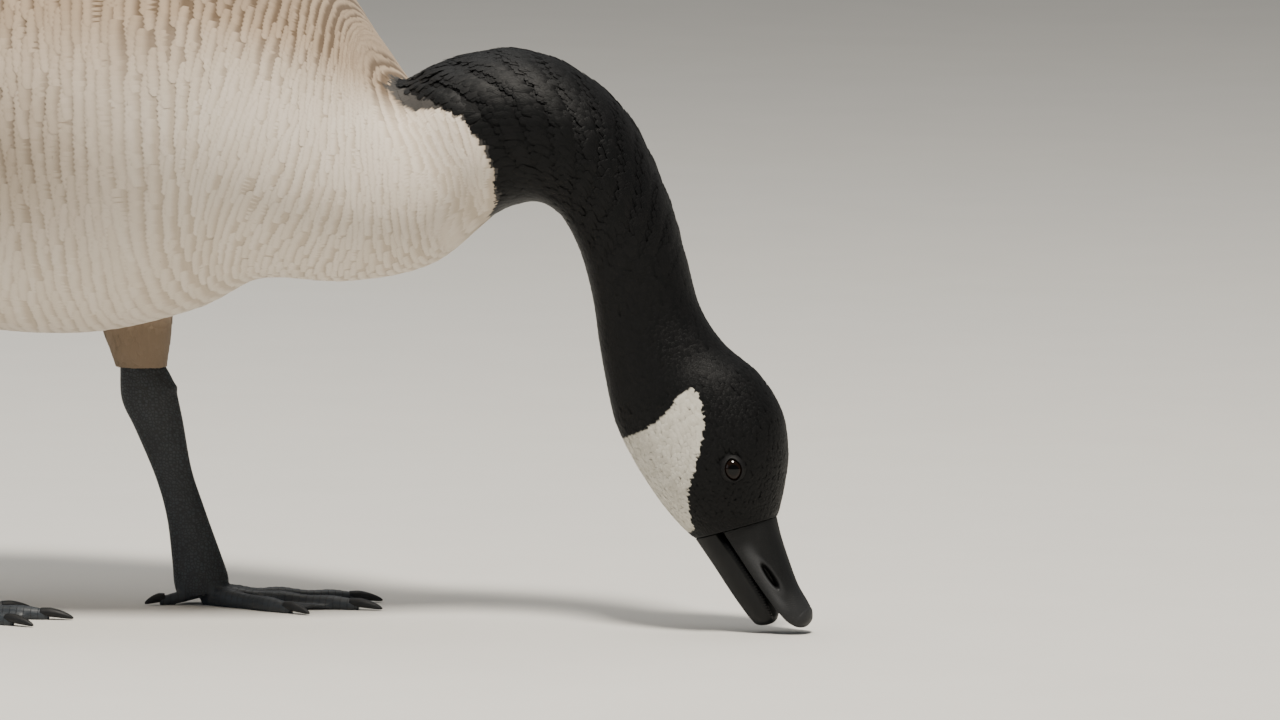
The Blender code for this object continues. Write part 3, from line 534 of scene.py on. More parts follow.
# Bill. Two halves of black horn over bone: the upper with a ridge, an open slot of a nostril in each
# flank and a hard nail at its tip, the lower a shallow trough with a row of fine comb plates.
UPPER_BILL = np.array([
    (0.3560, 0.05139, 0.3345, 0.04514, 0.0150, 0.12), (0.3582, 0.0425, 0.3422, 0.0342, 0.0138, 0.09),
    (0.3618, 0.0320, 0.3492, 0.0236, 0.0122, 0.09), (0.3659, 0.0215, 0.3558, 0.0146, 0.0110, 0.09),
    (0.3717, 0.0115, 0.3628, 0.0058, 0.0093, 0.14), (0.3724, 0.0045, 0.3680, 0.0020, 0.0052, 0.35)])
LOWER_BILL = np.array([
    (0.3342, 0.04500, 0.3203, 0.04109, 0.0138, 0.84), (0.3419, 0.0339, 0.3292, 0.0283, 0.0126, 0.86),
    (0.3488, 0.0232, 0.3366, 0.0172, 0.0111, 0.86), (0.3545, 0.0130, 0.3440, 0.0074, 0.0094, 0.84),
    (0.3578, 0.0052, 0.3490, 0.0020, 0.0056, 0.66)])
UPPER_FULLNESS, LOWER_FULLNESS = 2.3, 2.2
NOSTRIL_AT, NOSTRIL_LEAN = (0.3566, 0.0262), math.radians(34)
NOSTRIL_SIZE, NOSTRIL_DEPTH = (0.0140, 0.0034), 0.0036
NAIL_RING, NAIL_RISE, RIM_RISE, PIT_RISE, DISH_DEPTH = 3.95, 0.0003, 0.0003, 0.00006, 0.0006
COMB_GAP, COMB_DEPTH, COMB_SHELF, GROOVE_DEPTH = 0.0011, 0.0002, 0.0010, 0.0009
BILL_ROWS, BILL_COLUMNS = 220, 176


def turned(x, y, turn):
    """Points x, y turned by an angle: x cos - y sin, and x sin + y cos."""
    return x * math.cos(turn) - y * math.sin(turn), x * math.sin(turn) + y * math.cos(turn)


def bill_half(name, sections, fullness, shape, look):
    """A half of the bill: its loft, raised by the height that shape gives at each ring and angle, and
    closed at the tip by a superellipse of power 2.6 that draws the last rings in to their middle."""
    last = len(sections) - 1
    ring, angle = ring_grid(np.linspace(0.02, last, BILL_ROWS), BILL_COLUMNS)
    height, tone = shape(ring, angle, on_ring(sections, ring, angle, fullness))
    points = on_loft(sections, ring, angle, height, fullness)
    middle = points.mean(1, keepdims=True)
    late = np.clip((ring - last + 0.45) / 0.45, 0, 1)[..., None]
    points = middle + (points - middle) * np.sqrt(np.maximum(1 - (0.985 * late) ** 2.6, 0))
    return closed_tube(name, points, look, tone=tone)


def upper_shape(ring, angle, flat):
    """Heights of the upper half: a slot with a raised rim at each nostril, a dished flank, the nail
    as a low dome over the tip, and faint pits. The tone is above 0 where the horn is lighter: a
    painted reflection of the sky along each flank, a painted highlight round each nostril's rim, and
    more towards the tip; it is below 0 in the nostril slot as painted shade."""
    dx, dz = flat[..., 0] - FORE_SHIFT - NOSTRIL_AT[0], flat[..., 2] - NOSTRIL_AT[1]
    aside, along = turned(dx, dz, -NOSTRIL_LEAN)
    away = np.hypot(along / (NOSTRIL_SIZE[0] / 2), aside / (NOSTRIL_SIZE[1] / 2))
    flank = np.abs(flat[..., 1]) > 0.004
    slot = smooth_step(1.08, 0.55, away) * flank
    rim = np.exp(-((away - 1.25) / 0.30) ** 2) * flank
    turn = turn_from_top(angle)
    dish = np.exp(-((turn - 62) / 16) ** 2) * smooth_step(0.2, 1.0, ring) * smooth_step(3.9, 3.2, ring)
    nail = smooth_step(NAIL_RING, NAIL_RING + 0.12, ring - 0.35 * (turn / 90) ** 2)
    nail = nail * smooth_step(100, 82, turn)
    pitted = PIT_RISE * np.sin(70 * ring) * np.sin(23 * angle)
    height = -NOSTRIL_DEPTH * slot + RIM_RISE * rim - DISH_DEPTH * dish + NAIL_RISE * nail + pitted
    under = smooth_step(0.5, 1.2, ring) * smooth_step(3.9, 3.0, ring)
    # a painted reflection along the flank, lighter towards the tip, a painted highlight on the nostril's rim,
    # and painted shade in the slot
    strip = 0.8 * np.exp(-((turn - 76) / 9) ** 2) * under + 0.5 * smooth_step(2.4, 4.6, ring) + 0.3 * rim
    return height, np.clip(strip - 1.2 * slot, -1, 1)


def lower_shape(ring, angle, flat):
    """Heights of the lower half: comb plates as a wave along its upper edge, and a groove between
    its two arms below. Its tone is a little lighter on the comb plates and below 0 in the groove, as
    painted shade."""
    turn = turn_from_top(angle)
    comb = np.exp(-((turn - 58) / 12) ** 2) * smooth_step(0.2, 0.6, ring) * smooth_step(3.9, 3.4, ring)
    wave = np.sin(2 * math.pi * flat[..., 2] / COMB_GAP)
    groove = np.exp(-((turn - 180) / 14) ** 2) * smooth_step(3.2, 1.5, ring)
    height = COMB_DEPTH * comb * wave + COMB_SHELF * comb - GROOVE_DEPTH * groove
    return height, 0.10 * comb - 0.3 * groove


# Keratin horn, grown and worn smooth: nearly black, satin, with streaks of growth along it, some
# two millimetres apart. Its lighter stretches are a painted reflection of the sky along each flank and
# painted highlights round the nostrils, and it is a little lighter towards the tip; the nostril slots and
# the groove below are darkened as painted shade.
horn, tree, shader = new_material("bill_horn", Roughness=0.5, Specular_IOR_Level=0.2, IOR=1.54)
where = add_node(tree, "TexCoord").outputs["Object"]
stretch = add_node(tree, "Mapping", inputs={
    "Vector": where, "Rotation": (0, math.radians(28), 0), "Scale": (420, 420, 60)})
grain = add_node(tree, "TexNoise", inputs={"Vector": stretch, "Scale": 1.0, "Detail": 4.0})
spots = add_node(tree, "TexNoise", inputs={"Vector": where, "Scale": 260.0, "Detail": 3.0})
tone = add_node(tree, "Attribute", {"attribute_name": "tone"}).outputs["Fac"]
# tone above 0 lightens the horn: a painted reflection along the flanks, painted highlights round the
# nostrils, a lighter tip and the claws' even tone; tone below 0 darkens it as painted shade in the nostril
# slots and the groove
lighter_and_painted_reflection = add_node(tree, "MapRange", inputs={"Value": tone, "From Min": 0.0, "From Max": 1.0})
hole = add_node(tree, "MapRange", inputs={"Value": tone, "From Min": -0.9, "From Max": -0.1})
light = lay_over(tree, "#0B0C0D", (grain, "#151617"), (lighter_and_painted_reflection, "#3C3D3F"))
set_inputs(shader, {
    "Base Color": lay_over(tree, "#070707", (hole, light)),
    "Roughness": add_node(tree, "MapRange", inputs={"Value": spots, "To Min": 0.44, "To Max": 0.62}),
    "Normal": add_node(tree, "Bump", inputs={"Height": grain, "Strength": 0.35, "Distance": 0.0003})})

ready(bill_half("bill_upper_horn", UPPER_BILL, UPPER_FULLNESS, upper_shape, horn), "bill", "bill_upper")
ready(bill_half("bill_lower_horn", LOWER_BILL, LOWER_FULLNESS, lower_shape, horn), "bill", "bill_lower")


# Legs and feet. Bare blue-black skin drawn tight over bone and tendon, pebbled with small scales,
# with broad plates across the top of each toe, and soft webs between the three front toes.
# Bare part of each leg: x y z, half depth fore and aft, half width.
SHANKS = {
    "left": np.array([
        (0.0524, 0.0424, 0.1140, 0.0085, 0.0066),
        (0.0533, 0.0422, 0.1052, 0.0101, 0.0080), (0.0564, 0.0414, 0.0940, 0.0126, 0.0086),
        (0.0610, 0.0408, 0.0810, 0.0110, 0.0070), (0.0682, 0.0402, 0.0580, 0.0082, 0.0053),
        (0.0740, 0.0396, 0.0400, 0.0087, 0.0054), (0.0791, 0.0390, 0.0200, 0.0111, 0.0068),
        (0.0813, 0.0387, 0.0105, 0.0122, 0.0080), (0.0830, 0.0385, 0.0040, 0.0112, 0.0080)]),
    "right": np.array([
        (-0.0424, -0.0424, 0.1170, 0.0078, 0.0066),
        (-0.0430, -0.0422, 0.1082, 0.0095, 0.0080), (-0.0465, -0.0414, 0.0965, 0.0124, 0.0086),
        (-0.0460, -0.0408, 0.0830, 0.0112, 0.0070), (-0.0440, -0.0402, 0.0600, 0.0083, 0.0053),
        (-0.0425, -0.0396, 0.0410, 0.0084, 0.0054), (-0.0410, -0.0390, 0.0205, 0.0100, 0.0068),
        (-0.0400, -0.0387, 0.0105, 0.0108, 0.0080), (-0.0387, -0.0385, 0.0040, 0.0104, 0.0080)]),
}
# Ankles: x y, the way the foot points, and 1 for the left foot or -1 for its mirror image.
ANKLES = {"left": (0.0838, 0.0385, math.radians(-3), 1), "right": (-0.0387, -0.0385, math.radians(2), -1)}
# Toes: turn outwards from the middle toe, length from ankle to claw, half width, joints.
TOES = [(math.radians(-25), 0.053, 0.0046, 2), (0.0, 0.072, 0.0052, 3), (math.radians(23), 0.068, 0.0046, 3)]
HIND_TOE = (math.pi + math.radians(28), 0.021, 0.0031, 1)
TOE_HEIGHT, HIND_HEIGHT, WEB_TOP, WEB_THICKNESS = 0.0088, 0.0056, 0.0030, 0.0019
WEB_REACH, WEB_HOLLOW, WEB_SAG, WEB_FOLDS, FOLD_RISE = 0.95, 0.17, 0.0010, 9, 0.00025
SOLE_CUT = 0.0004  # the skin lies flat on the floor below this height
SCALE_SIZE, PLATE_GAP, SKIN_VOXEL = 0.0015, 0.0032, 0.0007
TOE_ROWS, TOE_COLUMNS, WEB_ROWS, WEB_COLUMNS, SHANK_ROWS, SHANK_COLUMNS = 70, 28, 26, 30, 110, 48


def on_floor(x, y, z):
    """Points of a tube of rings from three arrays, none of them below the floor, with its faces."""
    points = np.stack(alike(x, y, np.maximum(z, 0)), -1)
    return with_poles(points), tube_faces(1, len(points) + 2, points.shape[1])


def toe_tube(turn, length, half_width, joints):
    """A toe along the floor: a half ellipse over a flat sole, its width swollen at the joints by a
    cosine and stepped across the top by its plates. The hind toe leaves the shank higher up."""
    share, angle = ring_grid(np.linspace(0, 1, TOE_ROWS), TOE_COLUMNS)
    pads = 1 + 0.13 * np.cos(2 * math.pi * (share * joints + 0.5))
    width = half_width * (1 - 0.42 * share) * pads * np.sqrt(np.clip((1.02 - share) / 0.06, 0, 1))
    tall, lift = TOE_HEIGHT * (1 - 0.45 * share) * (0.5 + 0.5 * pads), 0.0
    if turn > math.pi / 2:
        tall, lift = HIND_HEIGHT * (1 - 0.3 * share), 0.0045 * (1 - share) ** 1.4
    plate = 0.05 * ((share * length / PLATE_GAP) % 1) * smooth_step(0.2, 0.8, np.sin(angle))
    x, y = turned(share * length, width * np.cos(angle) * (1 + 0.5 * plate), turn)
    return on_floor(x, y, tall * (0.42 + 0.58 * np.sin(angle)) * (1 + plate) + lift)


def web_slab(first, second):
    """The skin between two toes: a slab whose front edge is drawn back by a sine, sagging between the
    toes by another and puckered by shallow folds that fan out from the ankle."""
    across = np.linspace(0.0, 1.0, WEB_ROWS)[:, None]
    along = np.linspace(0.06, 1.0, WEB_COLUMNS)[None, :]
    turn = first[0] + (second[0] - first[0]) * across
    reach = first[1] + (second[1] - first[1]) * across
    reach = reach * (WEB_REACH - WEB_HOLLOW * np.sin(math.pi * across)) * along
    folds = FOLD_RISE * np.sin(WEB_FOLDS * math.pi * across) * along
    top = WEB_TOP - WEB_SAG * np.sin(math.pi * across) * along + folds
    over = np.stack(alike(reach * np.cos(turn), reach * np.sin(turn), top), -1)
    ring = np.concatenate([over, (over - (0, 0, WEB_THICKNESS))[:, ::-1]], axis=1)
    return with_poles(ring), tube_faces(1, len(ring) + 2, ring.shape[1])


def stand(side, shapes, flip=1):
    """Shapes made forward from an ankle, turned by its heading and mirrored for the right foot: all
    their points, and all their faces numbered on."""
    ankle_x, ankle_y, heading, hand = ANKLES[side]
    points, faces, start = [], [], 0
    for shape, parts in shapes:
        x, y = turned(shape[:, 0], hand * shape[:, 1], heading)
        points.append(np.stack([ankle_x + FORE_SHIFT + x, ankle_y + y, shape[:, 2]], -1))
        faces += [part[:, ::flip] + start for part in parts]
        start += len(shape)
    return np.concatenate(points), faces


def leg_skin(side, look):
    """Shank, ankle, toes and webs as closed tubes and slabs, melted into one skin by a voxel remesh,
    then set level on the floor."""
    ankle_x, ankle_y, heading, hand = ANKLES[side]
    shapes = [toe_tube(*toe) for toe in (*TOES, HIND_TOE)]
    shapes += [web_slab(*TOES[:2]), web_slab(*TOES[1:])]
    points, faces = stand(side, shapes, hand)
    ring, angle = ring_grid(np.linspace(0, len(SHANKS[side]) - 1, SHANK_ROWS), SHANK_COLUMNS)
    behind = np.exp(-((angle - math.pi) / 0.55) ** 2)
    tendon = behind * (0.0006 * smooth_step(2, 3.5, ring) + 0.0009 * np.exp(-((ring - 2.15) / 0.16) ** 2))
    faces += [part + len(points) for part in tube_faces(1, SHANK_ROWS + 2, SHANK_COLUMNS)]
    points = np.concatenate([points, with_poles(limb(SHANKS[side])(ring, angle, tendon))])
    made = make_mesh("leg_" + side, points, faces, look)
    apply_modifier(made, "REMESH", mode="VOXEL", voxel_size=SKIN_VOXEL, use_smooth_shade=True)
    apply_modifier(made, "SMOOTH", factor=0.5, iterations=2)
    mesh = made.data
    place = np.empty(3 * len(mesh.vertices), np.float32)
    mesh.vertices.foreach_get("co", place)
    place = place.reshape(-1, 3)
    place[:, 2] -= place[:, 2].min()
    place[:, 2] = np.where(place[:, 2] < SOLE_CUT, 0, place[:, 2])
    mesh.vertices.foreach_set("co", place.ravel())
    x, y = turned(place[:, 0] - ankle_x - FORE_SHIFT, place[:, 1] - ankle_y, -heading)
    plates, phase = np.zeros(len(place)), np.zeros(len(place))
    for turn, _, half_width, _ in (*TOES, HIND_TOE):
        along, off = turned(x, hand * y, -turn)
        on_toe = smooth_step(1.5 * half_width, 0.8 * half_width, np.abs(off)) * (along > 0)
        plates = np.maximum(plates, on_toe)
        phase = np.where(on_toe > 0.01, along / PLATE_GAP, phase)
    web = (1 - plates) * smooth_step(0.0085, 0.0055, place[:, 2]) * (x > 0.004)
    plates = plates * smooth_step(0.012, 0.007, place[:, 2])
    for key, values in (("plates", plates), ("phase", phase), ("web", web)):
        mesh.attributes.new(key, "FLOAT", "POINT").data.foreach_set("value", values.astype(np.float32))
    mesh.shade_smooth()
    mesh.materials.clear()
    mesh.materials.append(look)
    return made


# Leg skin, living scaled hide: blue-black, satin, in pebbled scales a millimetre and a half across
# with darker grooves; plates three millimetres long on the toes, and finer grain on the webs.
scaled_skin, tree, shader = new_material("scaled_leg_skin", Roughness=0.5, Specular_IOR_Level=0.5)
where = add_node(tree, "TexCoord").outputs["Object"]
plates, phase, web = (
    add_node(tree, "Attribute", {"attribute_name": key}).outputs["Fac"] for key in ("plates", "phase", "web"))
cells, fine = add_rows(
    tree, "TexVoronoi", {"feature": "DISTANCE_TO_EDGE"}, ("Vector", "Scale", "Randomness"),
    (where, 1 / SCALE_SIZE, 0.75), (where, 1.9 / SCALE_SIZE))
part = add_node(tree, "Math", {"operation": "FRACT"}, [phase])
domes, step = add_rows(tree, *RAMP, (cells, 0.0, 0.28), (part, 0.0, 0.16))
relief = lay_over(tree, domes, (plates, step), (web, fine), kind="FLOAT")
cloud = add_node(tree, "TexNoise", inputs={"Vector": where, "Scale": 70.0, "Detail": 4.0})
# creases across the shank, a millimetre and a half apart
level = add_node(tree, "Mapping", inputs={"Vector": where, "Scale": (60, 60, 640)})
crease = add_node(tree, "TexNoise", inputs={"Vector": level, "Scale": 1.0, "Detail": 2.0})
height = add_node(tree, "Math", {"operation": "MULTIPLY_ADD"}, [crease, 1.6, relief])
set_inputs(shader, {
    "Base Color": lay_over(tree, "#181B1E", (relief, lay_over(tree, "#1A1E22", (cloud, "#31383F")))),
    "Roughness": add_node(tree, "MapRange", inputs={"Value": relief, "To Min": 0.66, "To Max": 0.50}),
    "Normal": add_node(tree, "Bump", inputs={"Height": height, "Strength": 0.45, "Distance": 0.0003})})

for side in SHANKS:
    ready(leg_skin(side, scaled_skin), "leg_skin", "shank_" + side, "foot_" + side)


# Claws. Short curved nails of black horn, blunt from walking. Each is grown over the last bone of a
# toe, comes out of its skin and rests on the floor.
CLAW_LENGTH, HIND_CLAW_LENGTH, CLAW_TONE = 0.011, 0.0066, 0.2
CLAW_ROWS, CLAW_COLUMNS = 26, 20

claw_horn = horn.copy()
claw_horn.name = "claw_horn"


def claw(toe, length):
    """A claw: a tapered tube from inside the toe, its middle line bent down to the floor by a
    parabola."""
    turn, reach, half_width, _ = toe
    share, angle = ring_grid(np.linspace(-0.35, 1, CLAW_ROWS), CLAW_COLUMNS)
    taper = np.sqrt(np.clip(1.02 - np.clip(share, 0, 1) ** 1.5, 0, 1))
    z = 0.0021 + 0.0012 * (1 - share ** 2) + 0.0021 * taper * np.sin(angle) - 0.0011 * np.clip(share, 0, 1)
    return on_floor(*turned(reach + share * length, 0.50 * half_width * taper * np.cos(angle), turn), z)


for side in ANKLES:
    nails = [claw(toe, CLAW_LENGTH) for toe in TOES] + [claw(HIND_TOE, HIND_CLAW_LENGTH)]
    points, faces = stand(side, nails)
    claws = make_mesh("claws_" + side, points, faces, claw_horn, tone=np.full(len(points), CLAW_TONE))
    ready(outward(claws), "leg_skin")


# Coat of the body. Overlapping contour feathers in rows like tiles, root towards the bill and tip
# towards the tail, small and dense on the breast and larger on back, flanks and vent. Each is a fan
# of loose clumps of barbs, so the rows run together into soft bars.
ROW_RINGS = [2, 4, 7, 9, 11, 12.6]
ROW_GAP = [0.0072, 0.0070, 0.0061, 0.0052, 0.0044, 0.0039]
FEATHER_GAP = [0.0105, 0.0118, 0.0112, 0.0098, 0.0080, 0.0062]
FEATHER_LENGTH = [0.030, 0.028, 0.025, 0.0215, 0.0180, 0.0150]
FEATHER_FILL = 0.80  # half width by gap
BODY_CLUMPS = 8
CLUMP_SHARES = np.array([0.0, 0.24, 0.62, 0.93, 1.0])
CLUMP_WIDTHS = np.array([0.0, 0.85, 1.0, 0.90, 0.0])
CLUMP_ACROSS = np.array([-1.0, 0.0, 1.0])  # edge, ridge, edge; the flat underside closes it
CLUMP_RISE = np.array([0.15, 0.66, 0.93, 0.99, 1.0])
WING_LAP = 0.0074  # how far the side's feathers are raised over the front of the wing
# Where the wing leaves no room for them: its front edge, x by turn, and its lower edge, turn by x.
WING_TURN, WING_FRONT = [18, 30, 55, 72, 84], [0.046, 0.046, 0.034, 0.010, 0.004]
WING_X, WING_LOW, WING_REAR = [-0.06, -0.01], [91, 84], -0.125
PATCH = 0.003  # a feather's patch on its map
CREASE = math.radians(50)  # the edge of a feather is sharper than this


def slopes(surface, ring, angle):
    """The slopes of a surface along and around, and its unit normal."""
    step = 1e-3
    ring_slope = (surface(ring + step, angle) - surface(ring - step, angle)) / (2 * step)
    turn_slope = (surface(ring, angle + step) - surface(ring, angle - step)) / (2 * step)
    return ring_slope, turn_slope, unit(surface(ring, angle, step) - surface(ring, angle, 0.0))


def steps_for(way, ring_slope, turn_slope):
    """How far ring and angle go for one metre along way: the slopes' own two by two equations."""
    a = (ring_slope * ring_slope).sum(-1)
    b = (ring_slope * turn_slope).sum(-1)
    c = (turn_slope * turn_slope).sum(-1)
    u, v = (way * ring_slope).sum(-1), (way * turn_slope).sum(-1)
    det = np.maximum(a * c - b * b, 1e-14)
    return (u * c - v * b) / det, (v * a - u * b) / det


def path_from(surface, ring, angle, length, lean, shares, aside=0.0):
    """Straight paths over a surface from each root towards lower rings. Lean turns them to the belly,
    and aside moves their points sideways, in metres."""
    ring_slope, turn_slope, normal = slopes(surface, ring, angle)
    aft = unit(-ring_slope)
    down = np.cross(normal, aft)
    down *= np.where(down[..., 2:] > 0, -1.0, 1.0)
    way = aft * np.cos(lean)[:, None] + down * np.sin(lean)[:, None]
    ring_step, turn_step = steps_for(way, ring_slope, turn_slope)
    ring_side, turn_side = steps_for(np.cross(normal, way), ring_slope, turn_slope)
    reach = length[:, None] * shares
    path_ring = ring[:, None] + reach * ring_step[:, None] + aside * ring_side[:, None]
    return path_ring, angle[:, None] + reach * turn_step[:, None] + aside * turn_side[:, None]


def blades(surface, ring, angle, rise, half_width, across, lift, hide=None):
    """Points of closed blades along paths on a surface: a ring of points, across times the half width
    to each side and lift above the rise, is carried along each path. Its first and last row are
    poles. Over a hide the points to each side follow its height."""
    ring_slope, turn_slope, normal = slopes(surface, ring, angle)
    way = unit(np.gradient(surface(ring, angle, rise), axis=1))
    ring_step, turn_step = steps_for(np.cross(normal, way), ring_slope, turn_slope)
    aside = half_width[..., None] * across
    ring_there = ring[..., None] + aside * ring_step[..., None]
    angle_there = angle[..., None] + aside * turn_step[..., None]
    if hide:
        lift = lift + hide(ring_there, angle_there) - hide(ring[..., None], angle[..., None])
    return surface(ring_there, angle_there, rise[..., None] + lift)


def pole_to_pole(values):
    """Drops the repeats of the poles from values in blades, rows and sides."""
    rest = values.shape[3:]
    inner = values[:, 1:-1].reshape(len(values), -1, *rest)
    return np.concatenate([values[:, :1, 0], inner, values[:, -1:, 0]], axis=1).reshape(-1, *rest)


def make_blades(name, points, look, **values):
    """One piece of closed blades, with values for each of their points."""
    made = make_mesh(name, pole_to_pole(points), tube_faces(*points.shape[:3]), look, **{
        key: pole_to_pole(np.broadcast_to(value, points.shape[:3] + value.shape[3:]))
        for key, value in values.items()})
    made.data.set_sharp_from_angle(angle=CREASE)
    return made


def unwrap_of(ring, angle, first, last):
    """The hide unrolled along its middle line: u by ring between two rings, v by angle."""
    u = np.clip((ring - first) / (last - first), 0, 1)
    return 0.02 + 0.96 * np.stack([u, (angle / (2 * math.pi)) % 1], -1)


def lay_feathers(name, coat, roots, span, length, half_width, lean, raised, chance,
                 clumps=1, thick=0.00006, tips=1.0, fray=0.04, vary=1.0):
    """One piece of the coat. A feather is a fan of clumps of barbs: each clump's middle line leaves
    the root at 0.45 of its place across the feather and opens to all of it, and its ridge leaves the
    hide at the root and lies on the coat at the tip. Markings are read at each point, moved by a
    random fray; tips is how much of the feather's own pattern shows, vary how much its colour differs."""
    slot, look, surface, hide, depth, marks = coat
    ring, angle, length, half_width, lean, raised, draw = (np.repeat(part, clumps) for part in (
        *roots, length, half_width, lean, raised, 0.5 + vary * (chance.random(len(roots[0])) - 0.5)))
    place = np.repeat(unwrap_of(*roots, *span), clumps, axis=0)[:, None, None, :]
    middle = np.tile(np.linspace(-1, 1, clumps) * (1 - 1 / clumps), len(roots[0]))
    count = len(ring)
    length = length * (1 - 0.028 * middle ** 2) * chance.normal(1, 0.007, count)
    opened = (middle * half_width)[:, None] * np.interp(CLUMP_SHARES, [0, 0.55, 1], [0.45, 0.95, 1.0])
    path = path_from(surface, ring, angle, length, lean, CLUMP_SHARES, opened)
    rise = hide(*path) + depth(path[0]) * CLUMP_RISE * (raised * chance.normal(1, 0.003, count))[:, None]
    narrow = half_width / clumps * (2.2 if clumps > 1 else 1.0)
    lift = thick * np.array([-1.0, 1.0, -1.0]) * np.minimum(2 * CLUMP_WIDTHS, 1)[:, None]
    points = blades(surface, *path, rise, narrow[:, None] * CLUMP_WIDTHS, CLUMP_ACROSS, lift, hide)
    along = np.broadcast_to(CLUMP_SHARES[:, None], points.shape[:3])
    aside = middle[:, None, None] + np.broadcast_to(CLUMP_ACROSS / clumps, along.shape)
    draw = np.clip(draw + chance.normal(0, 0.03, count), 0, 1)[:, None, None]
    moved = path[0] + chance.normal(0, fray, count)[:, None]
    made = make_blades(
        name, points, look, barb=np.stack(alike(tips * along, aside, draw), -1),
        OFBake=place + PATCH * np.stack([along - 0.5, 0.5 * aside], -1),
        **{key: value[..., None] for key, value in marks(moved, turn_from_top(path[1])).items()})
    ready(made, slot)


def tiled_roots(surface, first, last, rings, row_gap, gap):
    """Roots in rows like tiles: rows a row gap apart along the side, feathers a gap apart round each
    row by its own length, and every other row moved by half a gap."""
    fine = np.linspace(first, last, 2000)
    side = surface(fine, np.zeros_like(fine))
    run = np.linalg.norm(np.diff(side, axis=0), axis=1) / np.interp(fine[1:], rings, row_gap)
    run = np.concatenate([[0], np.cumsum(run)])
    rows = np.interp(np.arange(int(run[-1])) + 0.5, run, fine)
    turn = np.linspace(0, 2 * math.pi, 241)
    hoop = surface(*np.broadcast_arrays(rows[:, None], turn[None, :]))
    length = np.linalg.norm(np.diff(hoop, axis=1), axis=2)
    total = length.sum(1)
    counts = np.maximum((total / np.interp(rows, rings, gap)).astype(int), 6)
    share = np.concatenate([np.zeros((len(rows), 1)), np.cumsum(length, axis=1) / total[:, None]], axis=1)
    number = np.arange(len(rows))
    row = np.repeat(number, counts)
    place = np.arange(counts.sum()) - np.repeat(np.cumsum(counts) - counts, counts)
    wanted = ((place + 0.5 * (row % 2)) / counts[row]) % 1 + 2 * row
    angle = np.interp(wanted, (share + 2 * number[:, None]).ravel(), np.tile(turn, len(rows)))
    return rows[row], angle


def coat_depth(ring):
    """The depth of the coat, in straight lines between the table's rings."""
    return np.interp(ring, COAT_RINGS, COAT_DEPTH)


def coat_floor(ring, angle):
    """The hide under the coat, raised where the feathers of the side lie over the front of the wing."""
    x, turn = ring_middle(ring), turn_from_top(angle)
    over_wing = smooth_step(0.085, 0.025, x) * smooth_step(-0.15, -0.09, x)
    over_wing = over_wing * smooth_step(122, 78, turn) * smooth_step(3, 18, turn)
    return skin_height(ring, angle) + WING_LAP * over_wing


body_coat = "body_plumage", contour_feathers, on_body, coat_floor, coat_depth, markings
chance = np.random.default_rng(11)
ring, angle = tiled_roots(on_body, 3.3, 14.1, ROW_RINGS, ROW_GAP, FEATHER_GAP)
ring = ring + 0.030 * np.sin(4 * angle + 2.3 * ring) + 0.014 * np.sin(9 * angle - 4.1 * ring)
ring = ring + chance.normal(0, 0.008, len(ring)) * np.interp(ring, [2, 12], [0.5, 1.0])
# the rows swing forward over the shoulders to the notch before the neck
forward = smooth_step(7.0, 9.8, ring) * smooth_step(12.4, 10.2, ring)
ring = ring + forward * smooth_step(78, 42, turn_from_top(angle))
angle = angle + chance.normal(0, 0.012, len(angle))
turn, place = turn_from_top(angle), ring_middle(ring)
# none where the wing lies, and none beyond the edge of the hood
front = np.interp(turn, WING_TURN, WING_FRONT) + chance.normal(0, 0.003, len(ring))
under_wing = (place < front) & (place > WING_REAR) & (turn > WING_TURN[0])
under_wing &= turn < np.interp(place, WING_X, WING_LOW)
hood_edge = np.interp(turn, HOOD_TURN, HOOD_RING) + np.interp(turn, [20, 60], [0.50, 0.85])
keep = ~under_wing & (ring < hood_edge)
ring, angle, turn = ring[keep], angle[keep], turn[keep]
for name, first, last in (
        ("feathers_flank", 0.0, 6.6), ("feathers_side", 6.6, 9.0), ("feathers_breast", 9.0, 11.0),
        ("feathers_breast_front", 11.0, 14.2)):
    part = (ring >= first) & (ring < last)
    count = part.sum()
    length = np.interp(ring[part], ROW_RINGS, FEATHER_LENGTH) * chance.normal(1, 0.014, count)
    half_width = FEATHER_FILL * np.interp(ring[part], ROW_RINGS, FEATHER_GAP) * chance.normal(1, 0.05, count)
    lean = np.radians(12 * np.sin(np.radians(2 * turn[part])) + chance.normal(0, 2, count))
    lay_feathers(
        name, body_coat, (ring[part], angle[part]), (max(first, 3.0), last), length, half_width, lean,
        chance.normal(1, 0.008, count), chance, clumps=BODY_CLUMPS, thick=0.00004, vary=0.6)


# Coat of the neck. Short narrow black feathers, soft as velvet, that part into slanting furrows where
# the neck bends; a few ragged longer ones stand up where the hood meets the back.
NECK_RINGS, NECK_SPACING = [12, 14, 20], [0.0021, 0.0019, 0.0018]
NECK_LENGTH, NECK_HALF_WIDTH = [0.0085, 0.0105, 0.0075], [0.0017, 0.0016, 0.0015]
FURROW_GAP, FURROW_RISE = 0.0110, 0.32


